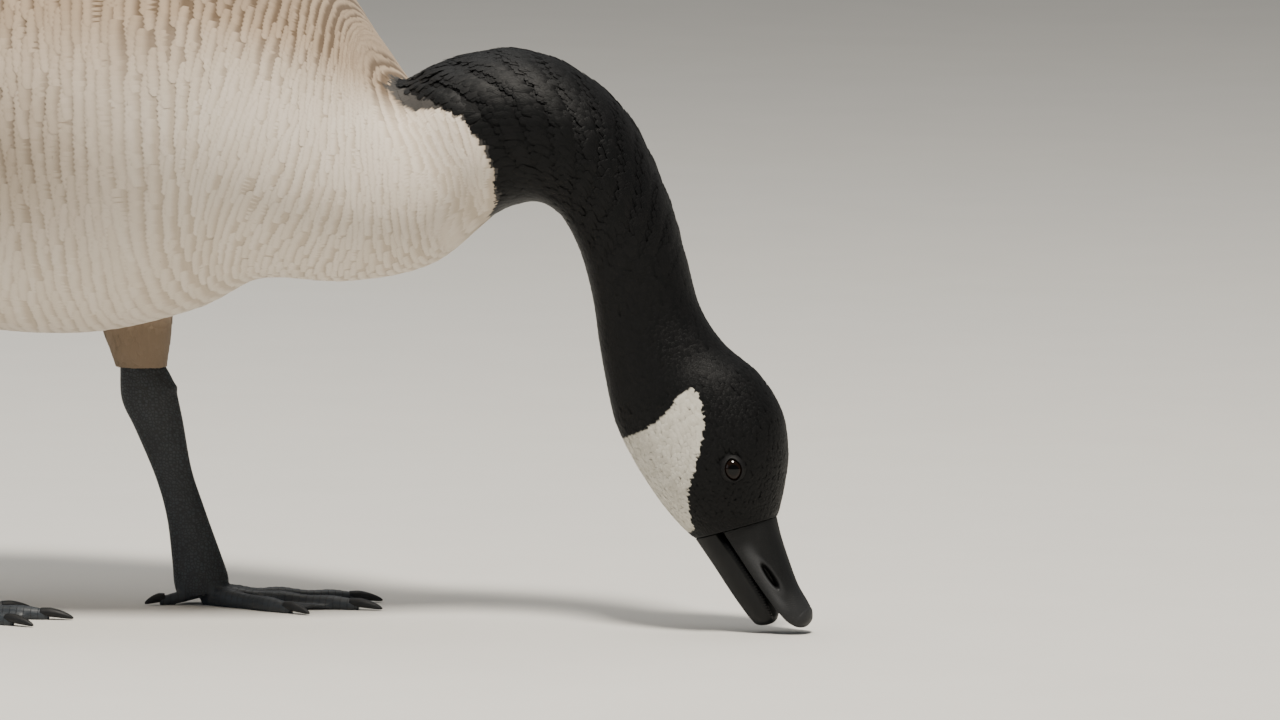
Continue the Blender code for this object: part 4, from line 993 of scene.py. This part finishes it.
def even_roots(surface, first, last, spacing, seed):
    """Roots spread evenly over a surface: the R2 sequence, whose steps are the plastic number's
    inverse powers, is warped by the running share of area along the rings and round each ring."""
    rings = np.linspace(first, last, 241)
    turns = np.linspace(0, 2 * math.pi, 181)
    ring, turn = np.meshgrid((rings[1:] + rings[:-1]) / 2, (turns[1:] + turns[:-1]) / 2, indexing="ij")
    ring_slope, turn_slope, _ = slopes(surface, ring, turn)
    area = np.linalg.norm(np.cross(ring_slope, turn_slope), axis=-1) / spacing(ring) ** 2
    area *= (rings[1] - rings[0]) * (turns[1] - turns[0])
    number = np.arange(int(area.sum()))
    u, v = (0.5 + 0.7548776662 * number) % 1, (0.5 + 0.5698402910 * number) % 1
    along = np.concatenate([[0], np.cumsum(area.sum(1))]) / area.sum()
    row = np.clip(np.searchsorted(along, u) - 1, 0, len(rings) - 2)
    around = np.concatenate([np.zeros((len(rings) - 1, 1)), np.cumsum(area, axis=1)], axis=1)
    around = around / around[:, -1:] + 2 * np.arange(len(rings) - 1)[:, None]
    turn = np.interp(v + 2 * row, around.ravel(), np.tile(turns, len(rings) - 1))
    return np.interp(u, along, rings), turn, np.random.default_rng(seed)


def furrows(ring, turn):
    """Height of the furrows, -1 to 1: a sine across slanting lines, strongest over the bend."""
    along = np.interp(ring, range(len(BODY)), np.concatenate([[0], np.cumsum(
        np.hypot(*np.diff((BODY[:, 0:2] + BODY[:, 2:4]) / 2, axis=0).T))]))
    around = np.radians(turn) * 0.032
    wave = np.sin(2 * math.pi * (0.86 * along - 0.50 * around) / FURROW_GAP + 0.8 * np.sin(turn / 14))
    wave = wave * smooth_step(12.6, 13.4, ring) * smooth_step(19.0, 16.5, ring)
    return wave * smooth_step(150, 100, turn) * smooth_step(-20, 40, turn)


def hood_marks(ring, turn):
    """The markings of the neck and head, black wherever they aren't strap."""
    marks = markings(ring, turn)
    marks["hood"] = np.maximum(marks["hood"], 0.1)
    return marks


hood_coat = "black_plumage", black_feathers, on_body, skin_height, coat_depth, hood_marks
ring, angle, chance = even_roots(
    on_body, 11.9, 20.8, lambda ring: np.interp(ring, NECK_RINGS, NECK_SPACING), 23)
turn, count = turn_from_top(angle), len(ring)
tuft = smooth_step(14.4, 13.2, ring) * smooth_step(60, 15, turn) * smooth_step(12.2, 12.8, ring)
length = np.interp(ring, NECK_RINGS, NECK_LENGTH) * (1 + 0.3 * tuft) * chance.normal(1, 0.10, count)
lean = 16 * np.sin(np.radians(2 * turn)) * smooth_step(16, 13, ring)
lean = np.radians(lean + chance.normal(0, 6, count))
tip_ring, tip_angle = path_from(on_body, ring, angle, length, lean, np.array([1.0]))
hood_edge = np.interp(turn_from_top(tip_angle[:, 0]), HOOD_TURN, HOOD_RING)
keep = tip_ring[:, 0] > hood_edge + chance.normal(0, 0.08, count)
ring, angle, turn, tuft, length, lean = (part[keep] for part in (ring, angle, turn, tuft, length, lean))
raised = 1 + FURROW_RISE * furrows(ring, turn) + tuft * chance.uniform(0.0, 0.4, len(ring))
raised = raised + chance.normal(0, 0.015, len(ring))
for name, first, last in (
        ("feathers_neck_base", 11.0, 14.6), ("feathers_neck_arch", 14.6, 17.5),
        ("feathers_neck", 17.5, 21.0)):
    part = (ring >= first) & (ring < last)
    lay_feathers(
        name, hood_coat, (ring[part], angle[part]), (max(first, 11.9), last), length[part],
        np.interp(ring[part], NECK_RINGS, NECK_HALF_WIDTH), lean[part], raised[part], chance, thick=0.00007)


# Eyes. Dark brown balls, wet and glossy, set in the sides of the head; a black pupil shows only in
# strong light. Each is held by two bare lids with a thin rounded margin.
EYE_RING, EYE_ANGLE, EYE_RADIUS, EYE_SINK = 22.95, math.radians(24), 0.0062, 0.0040
OPENING = (0.0046, 0.0038)  # half length and half height between the lids
LID_THICKNESS, LID_REACH = 0.0007, 0.0095
EYE_ROWS, EYE_COLUMNS, LID_ROWS, LID_COLUMNS = 48, 64, 16, 72


def eye_axes(side):
    """An eye's middle and its axes: along the face to the bill, up the face, and out."""
    angle = EYE_ANGLE if side > 0 else math.pi - EYE_ANGLE
    ring_slope, _, out = slopes(on_body, np.array(EYE_RING), np.array(angle))
    along = unit(ring_slope - out * (ring_slope @ out))
    return on_body(EYE_RING, angle) - out * EYE_SINK, np.array([along, np.cross(out, along), out])


def make_eye(name, side, look):
    """A sphere in polar rows from the pupil, its cornea raised by a small cosine bulge."""
    middle, axes = eye_axes(side)
    tilt, turn = ring_grid(np.linspace(0.03, math.pi - 0.03, EYE_ROWS), EYE_COLUMNS)
    radius = EYE_RADIUS * (1 + 0.04 * np.where(tilt < 0.8, np.cos(tilt / 0.8 * math.pi / 2), 0) ** 1.5)
    local = radius[..., None] * np.stack([
        np.sin(tilt) * np.cos(turn), np.sin(tilt) * np.sin(turn), np.cos(tilt)], -1)
    return closed_tube(name, middle + local @ axes, look, iris=tilt, spoke=turn)


def make_lids(name, side, look):
    """A ring of skin from its rounded margin on the eyeball out into the hide of the cheek. The
    opening is a superellipse with drawn-out corners."""
    middle, axes = eye_axes(side)
    share, turn = ring_grid(np.linspace(0, 1, LID_ROWS), LID_COLUMNS)
    share, turn = share[:, :1], turn[:1]
    open_x = OPENING[0] * np.cos(turn) * (1 + 0.10 * np.abs(np.cos(turn)) ** 6)
    open_y = OPENING[1] * np.sin(turn)
    x = open_x + (LID_REACH * np.cos(turn) - open_x) * share
    y = open_y + (0.9 * LID_REACH * np.sin(turn) - open_y) * share
    radius = np.hypot(x, y)
    dome = np.sqrt(np.maximum((EYE_RADIUS + LID_THICKNESS) ** 2 - radius ** 2, 0))
    under = EYE_SINK - 0.0018 - 3.0 * np.maximum(radius - EYE_RADIUS, 0) ** 1.5
    blend = smooth_step(0.25, 0.95, share)
    margin = np.sqrt(np.maximum((EYE_RADIUS - 0.0006) ** 2 - np.hypot(open_x, open_y) ** 2, 0))
    inner = np.stack([open_x * 1.02, open_y * 1.02, margin], -1)
    lip = np.stack([open_x * 0.985, open_y * 0.985, dome[0:1] - 0.35 * LID_THICKNESS], -1)
    local = np.concatenate([inner, lip, np.stack([x, y, dome * (1 - blend) + under * blend], -1)])
    quads = tube_faces(1, len(local) + 2, LID_COLUMNS)[0] - 1
    return make_mesh(name, (middle + local @ axes).reshape(-1, 3), [quads], look)


wet_eye, tree, shader = new_material("wet_eye", Roughness=0.06, Specular_IOR_Level=0.4, IOR=1.34)
iris, spoke = (
    add_node(tree, "Attribute", {"attribute_name": key}).outputs["Fac"] for key in ("iris", "spoke"))
around = add_node(tree, "Math", {"operation": "MULTIPLY"}, [spoke, 6.0])
fibre = add_node(tree, "TexNoise", inputs={
    "Vector": add_node(tree, "CombineXYZ", inputs=[around, iris]), "Scale": 3.0, "Detail": 2.0})
edge, = add_rows(tree, *RAMP, (iris, 0.36, 0.42))
brown = lay_over(tree, "#0C0805", (fibre, "#1A0F09"))
set_inputs(shader, {"Base Color": lay_over(tree, "#050505", (edge, brown))})

lid_skin, tree, shader = new_material("bare_lid_skin", Roughness=0.6, Specular_IOR_Level=0.2)
fold = add_node(tree, "TexVoronoi", {"feature": "F1"}, {
    "Vector": add_node(tree, "TexCoord").outputs["Object"], "Scale": 2500.0})
set_inputs(shader, {
    "Base Color": lay_over(tree, "#0A0A0B", (fold, "#131314")),
    "Normal": add_node(tree, "Bump", inputs={"Height": fold, "Strength": 0.4, "Distance": 0.0002})})

for name, side in (("left", 1), ("right", -1)):
    ready(make_eye("eyeball_" + name, side, wet_eye), "eye", "eye_" + name)
    ready(make_lids("lids_" + name, side, lid_skin), "black_plumage")


# Coat of the head. The smallest feathers of all, dense as plush, longest on the nape and shortest at
# the bill and round the lids.
HEAD_RINGS, HEAD_SPACING = [20, 22, 25], [0.0019, 0.0015, 0.0012]
HEAD_LENGTH, HEAD_HALF_WIDTH = [0.0072, 0.0052, 0.0026], [0.00145, 0.00110, 0.00074]
LID_CLEAR = 0.0057  # no roots nearer than this to the middle of an eye

ring, angle, chance = even_roots(
    on_body, 20.4, 24.97, lambda ring: np.interp(ring, HEAD_RINGS, HEAD_SPACING), 37)
keep = np.ones(len(ring), bool)
for side in (1, -1):
    middle, axes = eye_axes(side)
    along, up, out = ((on_body(ring, angle) - middle) @ axes.T).T
    keep &= (np.hypot(along / 1.12, up) > LID_CLEAR) | (out < -0.003)
ring, angle = ring[keep], angle[keep]
turn, count = turn_from_top(angle), len(ring)
length = np.interp(ring, HEAD_RINGS, HEAD_LENGTH) * chance.normal(1, 0.10, count)
half_width = np.interp(ring, HEAD_RINGS, HEAD_HALF_WIDTH) * chance.normal(1, 0.08, count)
lean = np.radians(8 * np.sin(np.radians(2 * turn)) + chance.normal(0, 7, count))
for name, first, last in (("feathers_cheek", 20.0, 22.4), ("feathers_face", 22.4, 25.0)):
    part = (ring >= first) & (ring < last)
    lay_feathers(
        name, hood_coat, (ring[part], angle[part]), (first, last), length[part], half_width[part],
        lean[part], chance.normal(1, 0.04, part.sum()), chance, fray=0.014)


# Coat of the thighs. Short soft grey-brown feathers that lie down the leg and end in an even cuff just
# above the bare shank.
for number, (side, joints) in enumerate(THIGHS.items()):
    leg = limb(joints, level=True)
    thigh_coat = (
        "body_plumage", contour_feathers, leg, lambda ring, angle: -THIGH_SINK, lambda ring: THIGH_SINK,
        thigh_markings)
    ring, angle, chance = even_roots(leg, 0.10, 2.6, lambda ring: 0.0016 + 0.0005 * ring, 61 + number)
    length = np.interp(ring, [0, 1, 2.6], [0.0060, 0.0100, 0.0150]) * chance.normal(1, 0.08, len(ring))
    lean = chance.normal(0, math.radians(5), len(ring))
    tip_ring, _ = path_from(leg, ring, angle, length, lean, np.array([1.0]))
    length = length * np.clip((ring - 0.005) / np.maximum(ring - tip_ring[:, 0], 1e-6), 0, 1) / 1.06
    keep = length > 0.0028
    ring, angle, length, lean = ring[keep], angle[keep], length[keep], lean[keep]
    lay_feathers(
        "feathers_thigh_" + side, thigh_coat, (ring, angle), (0.0, 2.6), length,
        np.interp(ring, [0, 2.6], [0.0014, 0.0026]), lean, chance.normal(1, 0.06, len(ring)), chance,
        tips=0.3, vary=0.3)


# Tail. Eighteen stiff blackish feathers in a shallow fan, the middle pair on top, held at their roots
# by white coverts that lie over and under them.
TAIL_COUNT, TAIL_LENGTH, TAIL_SPREAD, TAIL_ROUNDING = 18, 0.108, math.radians(11.5), 0.014
TAIL_FROM, TAIL_LEVEL, TAIL_DROP = -0.2365, 0.2590, math.radians(7.5)
TAIL_ROOT_STEP, TAIL_HALF_WIDTH, TAIL_STEP, TAIL_TILT, TAIL_RIM = 0.0033, 0.0118, 0.0014, 0.0007, 0.10
VANE_SHARES = np.array([0.0, 0.04, 0.14, 0.28, 0.42, 0.56, 0.68, 0.79, 0.87, 0.93, 0.97, 0.99, 1.0])
VANE_WIDTHS = np.array([0.0, 0.30, 0.62, 0.82, 0.93, 0.99, 1.0, 0.96, 0.86, 0.70, 0.49, 0.29, 0.0])
VANE_ACROSS = np.array([-1.0, -0.62, -0.30, -0.06, 0.0, 0.06, 0.30, 0.62, 1.0, 0.5, 0.0, -0.5])
VANE_UNDER = np.arange(12) > 8  # the points across that close the underside
VANE_CAMBER, SHAFT_RISE, VANE_THICKNESS = 0.05, 0.00030, 0.00045


def vane_lift(half_width):
    """Height of the points across a vane over its middle line: a parabola down to both edges, a
    narrow ridge for the shaft, and the underside a thickness below."""
    top = -VANE_CAMBER * VANE_ACROSS ** 2
    shaft = SHAFT_RISE * np.exp(-(VANE_ACROSS / 0.05) ** 2) * (1 - 2 * VANE_UNDER)
    return top * half_width[..., None] + shaft - VANE_THICKNESS * VANE_UNDER


def make_vanes(name, surface, ring, angle, rise, half_width, tilt, draw, look, **attributes):
    """Large feathers along paths on a surface, each shown on its map as a strip of its own, top side
    and underside next to each other."""
    width = half_width[:, None] * VANE_WIDTHS
    lift = vane_lift(width) - tilt[:, None, None] * VANE_ACROSS * np.minimum(3 * VANE_WIDTHS, 1)[:, None]
    points = blades(surface, ring, angle, rise, width, VANE_ACROSS, lift)
    count = len(ring)
    strip = ((np.arange(count) + 0.5) / count)[:, None, None]
    along, aside, draw = alike(VANE_SHARES[:, None], VANE_ACROSS, draw[:, None, None])
    u = strip + 0.22 * (aside * np.where(VANE_UNDER, -1, 1) + np.where(VANE_UNDER, 2.0, 0) - 0.55) / count
    return make_blades(
        name, points, look, barb=np.stack([along, aside, draw], -1),
        OFBake=np.stack([u, 0.02 + 0.96 * along], -1),
        **{key: values[:, None, None] for key, values in attributes.items()})


def on_fan(back, aside, height=0.0):
    """The level of the tail: it drops evenly with the reach back from its root."""
    back, aside, height = alike(back, aside, height)
    up = TAIL_LEVEL - math.tan(TAIL_DROP) * back + height
    return np.stack([TAIL_FROM + FORE_SHIFT - back, aside, up], -1)


# Flight and tail feathers, and the large coverts: stiffer keratin vanes, matt with a faint gloss,
# with barbs that slant from a raised shaft; brown with pale worn edges, or nearly black.
vane_feathers, tree, shader = new_material(
    "vane_feathers", Roughness=0.62, Sheen_Weight=0.15, Sheen_Roughness=0.4, Specular_IOR_Level=0.4)
barb = add_node(tree, "Attribute", {"attribute_name": "barb"}).outputs["Vector"]
dark, rim = (add_node(tree, "Attribute", {"attribute_name": key}).outputs["Fac"] for key in ("dark", "rim"))
along, across, draw = add_node(tree, "SeparateXYZ", inputs=[barb]).outputs
out = add_node(tree, "Math", {"operation": "ABSOLUTE"}, [across])
square = add_node(tree, "Math", {"operation": "MULTIPLY"}, [out, out])
crest = add_node(tree, "Math", {"operation": "MULTIPLY_ADD"}, [square, 0.07, along])
tip, hem, inner, shaft = add_rows(
    tree, *RAMP, (crest, 0.90, 0.975), (out, 0.80, 0.98, 0.0, 0.5), (crest, 0.25, 0.88),
    (out, 0.075, 0.035, 0.0, 0.7))
pale = add_node(tree, "Math", {"operation": "MAXIMUM"}, [tip, hem])
pale = add_node(tree, "Math", {"operation": "MULTIPLY"}, [pale, rim])
cloud = add_node(tree, "TexNoise", inputs={
    "Vector": add_node(tree, "TexCoord").outputs["Object"], "Scale": 60.0, "Detail": 3.0})
vary = add_node(tree, "Math", {"operation": "MULTIPLY_ADD"}, [cloud, 0.6, -0.3])
vary = add_node(tree, "Math", {"operation": "ADD", "use_clamp": True}, [vary, draw])
black = lay_over(tree, "#26211D", (vary, "#181512"))
tone = lay_over(
    tree, "#806E57", (vary, "#645443"), (inner, "#4A3C2F"), (dark, black), (pale, "#BFAF99"),
    (shaft, "#2A221B"))
bump = add_node(tree, "Bump", inputs={
    "Height": barb_lines(tree, barb, 60.0, 14.0), "Strength": 0.6, "Distance": 0.0003})
set_inputs(shader, {"Base Color": tone, "Normal": bump})

chance = np.random.default_rng(71)
number = np.arange(TAIL_COUNT) - (TAIL_COUNT - 1) / 2
number = number[np.argsort(-np.abs(number), kind="stable")][:, None]
far = (number / number.max()) ** 2
turn = number / number.max() * TAIL_SPREAD + chance.normal(0, 0.006, number.shape)
reach = VANE_SHARES * (TAIL_LENGTH - TAIL_ROUNDING * far)
tail = make_vanes(
    "tail_feathers", on_fan, reach * np.cos(turn), number * TAIL_ROOT_STEP + reach * np.sin(turn),
    -np.abs(number) * TAIL_STEP + 0 * reach, np.full(TAIL_COUNT, TAIL_HALF_WIDTH),
    TAIL_TILT * np.sign(-number[:, 0]), chance.random(TAIL_COUNT), vane_feathers,
    dark=np.ones(TAIL_COUNT), rim=np.full(TAIL_COUNT, TAIL_RIM))
ready(tail, "tail_feathers", "tail")

# Rump and vent, over the roots of the tail: long loose white feathers, the longest against the tail.
rump_coat = (
    "body_plumage", contour_feathers, on_rump, lambda ring, angle: -COAT_DEPTH[0], lambda ring: COAT_DEPTH[0],
    lambda ring, turn: markings(ring - 1, turn))
ring, angle = tiled_roots(on_rump, 2.35, 4.45, [2, 3, 4, 5], [0.0075] * 4, [0.0088, 0.0092, 0.0100, 0.0105])
keep = (ring > 2.95) | (np.abs(turn_from_top(angle) - 82) > 46)  # clear of the folded wing
ring, angle = ring[keep], angle[keep]
angle = angle + chance.normal(0, 0.02, len(angle))
lay_feathers(
    "feathers_rump", rump_coat, (ring, angle), (2.0, 4.6),
    np.interp(ring, [2.3, 3.2, 4.5], [0.042, 0.036, 0.028]) * chance.normal(1, 0.06, len(ring)),
    np.interp(ring, [2.3, 4.5], [0.0060, 0.0064]), chance.normal(0, math.radians(4), len(ring)),
    chance.normal(1, 0.05, len(ring)), chance, clumps=BODY_CLUMPS)


# Wings. Each is folded flat: flight feathers stacked under the arm, their roots under three tiers of
# coverts, and the shoulder's own long feathers laid over the top edge like a lid.
# A tier runs up the wing: its count of feathers, then pairs for its lowest and its highest feather,
# where root and tip lie along the body, their degrees above its side, and how far out the tip lies;
# then the root's height, the half width, how dark it is and how pale its edge.
WING_TIERS = {
    "flight_feathers": [
        # primaries, secondaries and tertials
        (9, -0.085, -0.085, -0.338, -0.254, 14, 42, 18, 53, 0.0022, 0.0056, 0.0040, 0.0076, 1.0, 0.05),
        (11, 0.010, -0.060, -0.086, -0.180, 4, 24, -3, 18, 0.0040, 0.0048, 0.0040, 0.0100, 0.55, 0.45),
        (5, -0.020, -0.045, -0.180, -0.230, 30, 64, 24, 69, 0.0074, 0.0082, 0.0050, 0.0140, 0.25, 0.75)],
    "covert_feathers": [
        # greater, median and lesser coverts
        (12, 0.018, -0.045, -0.034, -0.112, 5, 44, 0, 40, 0.0082, 0.0090, 0.0052, 0.0088, 0.12, 0.95),
        (12, 0.034, -0.010, -0.012, -0.062, 10, 52, 6, 50, 0.0098, 0.0104, 0.0060, 0.0082, 0.06, 1.0),
        (11, 0.044, 0.016, 0.008, -0.028, 14, 56, 11, 54, 0.0108, 0.0112, 0.0070, 0.0076, 0.03, 1.0),
        # the shoulder's feathers in three rows
        (6, 0.020, -0.030, -0.052, -0.112, 52, 72, 50, 74, 0.0106, 0.0112, 0.0060, 0.0110, 0.10, 1.0),
        (6, 0.046, 0.006, -0.012, -0.066, 54, 73, 54, 75, 0.0112, 0.0118, 0.0060, 0.0105, 0.05, 1.0),
        (6, 0.066, 0.040, 0.016, -0.024, 56, 74, 57, 75, 0.0116, 0.0121, 0.0060, 0.0098, 0.02, 1.0)],
}
VANE_TILT = 0.0016  # how far the lower edge of a feather stands out over the next one down


def ring_at(x):
    """The ring whose middle is at x; only behind the neck."""
    return np.interp(x, (BODY[:NECK_RING + 1, 0] + BODY[:NECK_RING + 1, 2]) / 2, range(NECK_RING + 1))


def tier_paths(tier, side, chance):
    """Paths of a tier's feathers over the body, in straight lines of place and angle. The height
    rises from root to tip by the 0.7 power over the first three fifths."""
    count, *pairs, root_rise, half_width, dark, rim = tier
    up = np.linspace(0, 1, count)[:, None]
    root_x, tip_x, root_angle, tip_angle, tip_rise = (
        low + (high - low) * up for low, high in zip(pairs[::2], pairs[1::2]))
    tip_x = tip_x + chance.normal(0, 0.0016, up.shape)
    tip_angle = tip_angle + chance.normal(0, 0.5, up.shape)
    ring = ring_at(root_x + (tip_x - root_x) * VANE_SHARES)
    angle = np.radians(root_angle + (tip_angle - root_angle) * VANE_SHARES)
    angle = angle if side > 0 else math.pi - angle
    rise = root_rise + (tip_rise - root_rise) * np.minimum(VANE_SHARES / 0.6, 1) ** 0.7
    rise = rise + np.arange(count)[:, None] * 1e-5
    width = half_width * chance.normal(1, 0.03, count)
    return ring, angle, rise, width, np.full(count, dark), np.full(count, rim)


for side_name, side in (("left", 1), ("right", -1)):
    chance = np.random.default_rng(83)
    for kind, tiers in WING_TIERS.items():
        rows = [tier_paths(tier, side, chance) for tier in tiers]
        ring, angle, rise, width, dark, rim = (np.concatenate(part) for part in zip(*rows))
        count = len(ring)
        dark = np.clip(dark + chance.normal(0, 0.03, count), 0, 1)
        piece = make_vanes(
            kind + "_" + side_name, on_body, ring, angle, rise, width, np.full(count, VANE_TILT * side),
            chance.random(count), vane_feathers, dark=dark, rim=rim)
        ready(piece, "wing_feathers", *(["wing_" + side_name] if kind == "flight_feathers" else []))
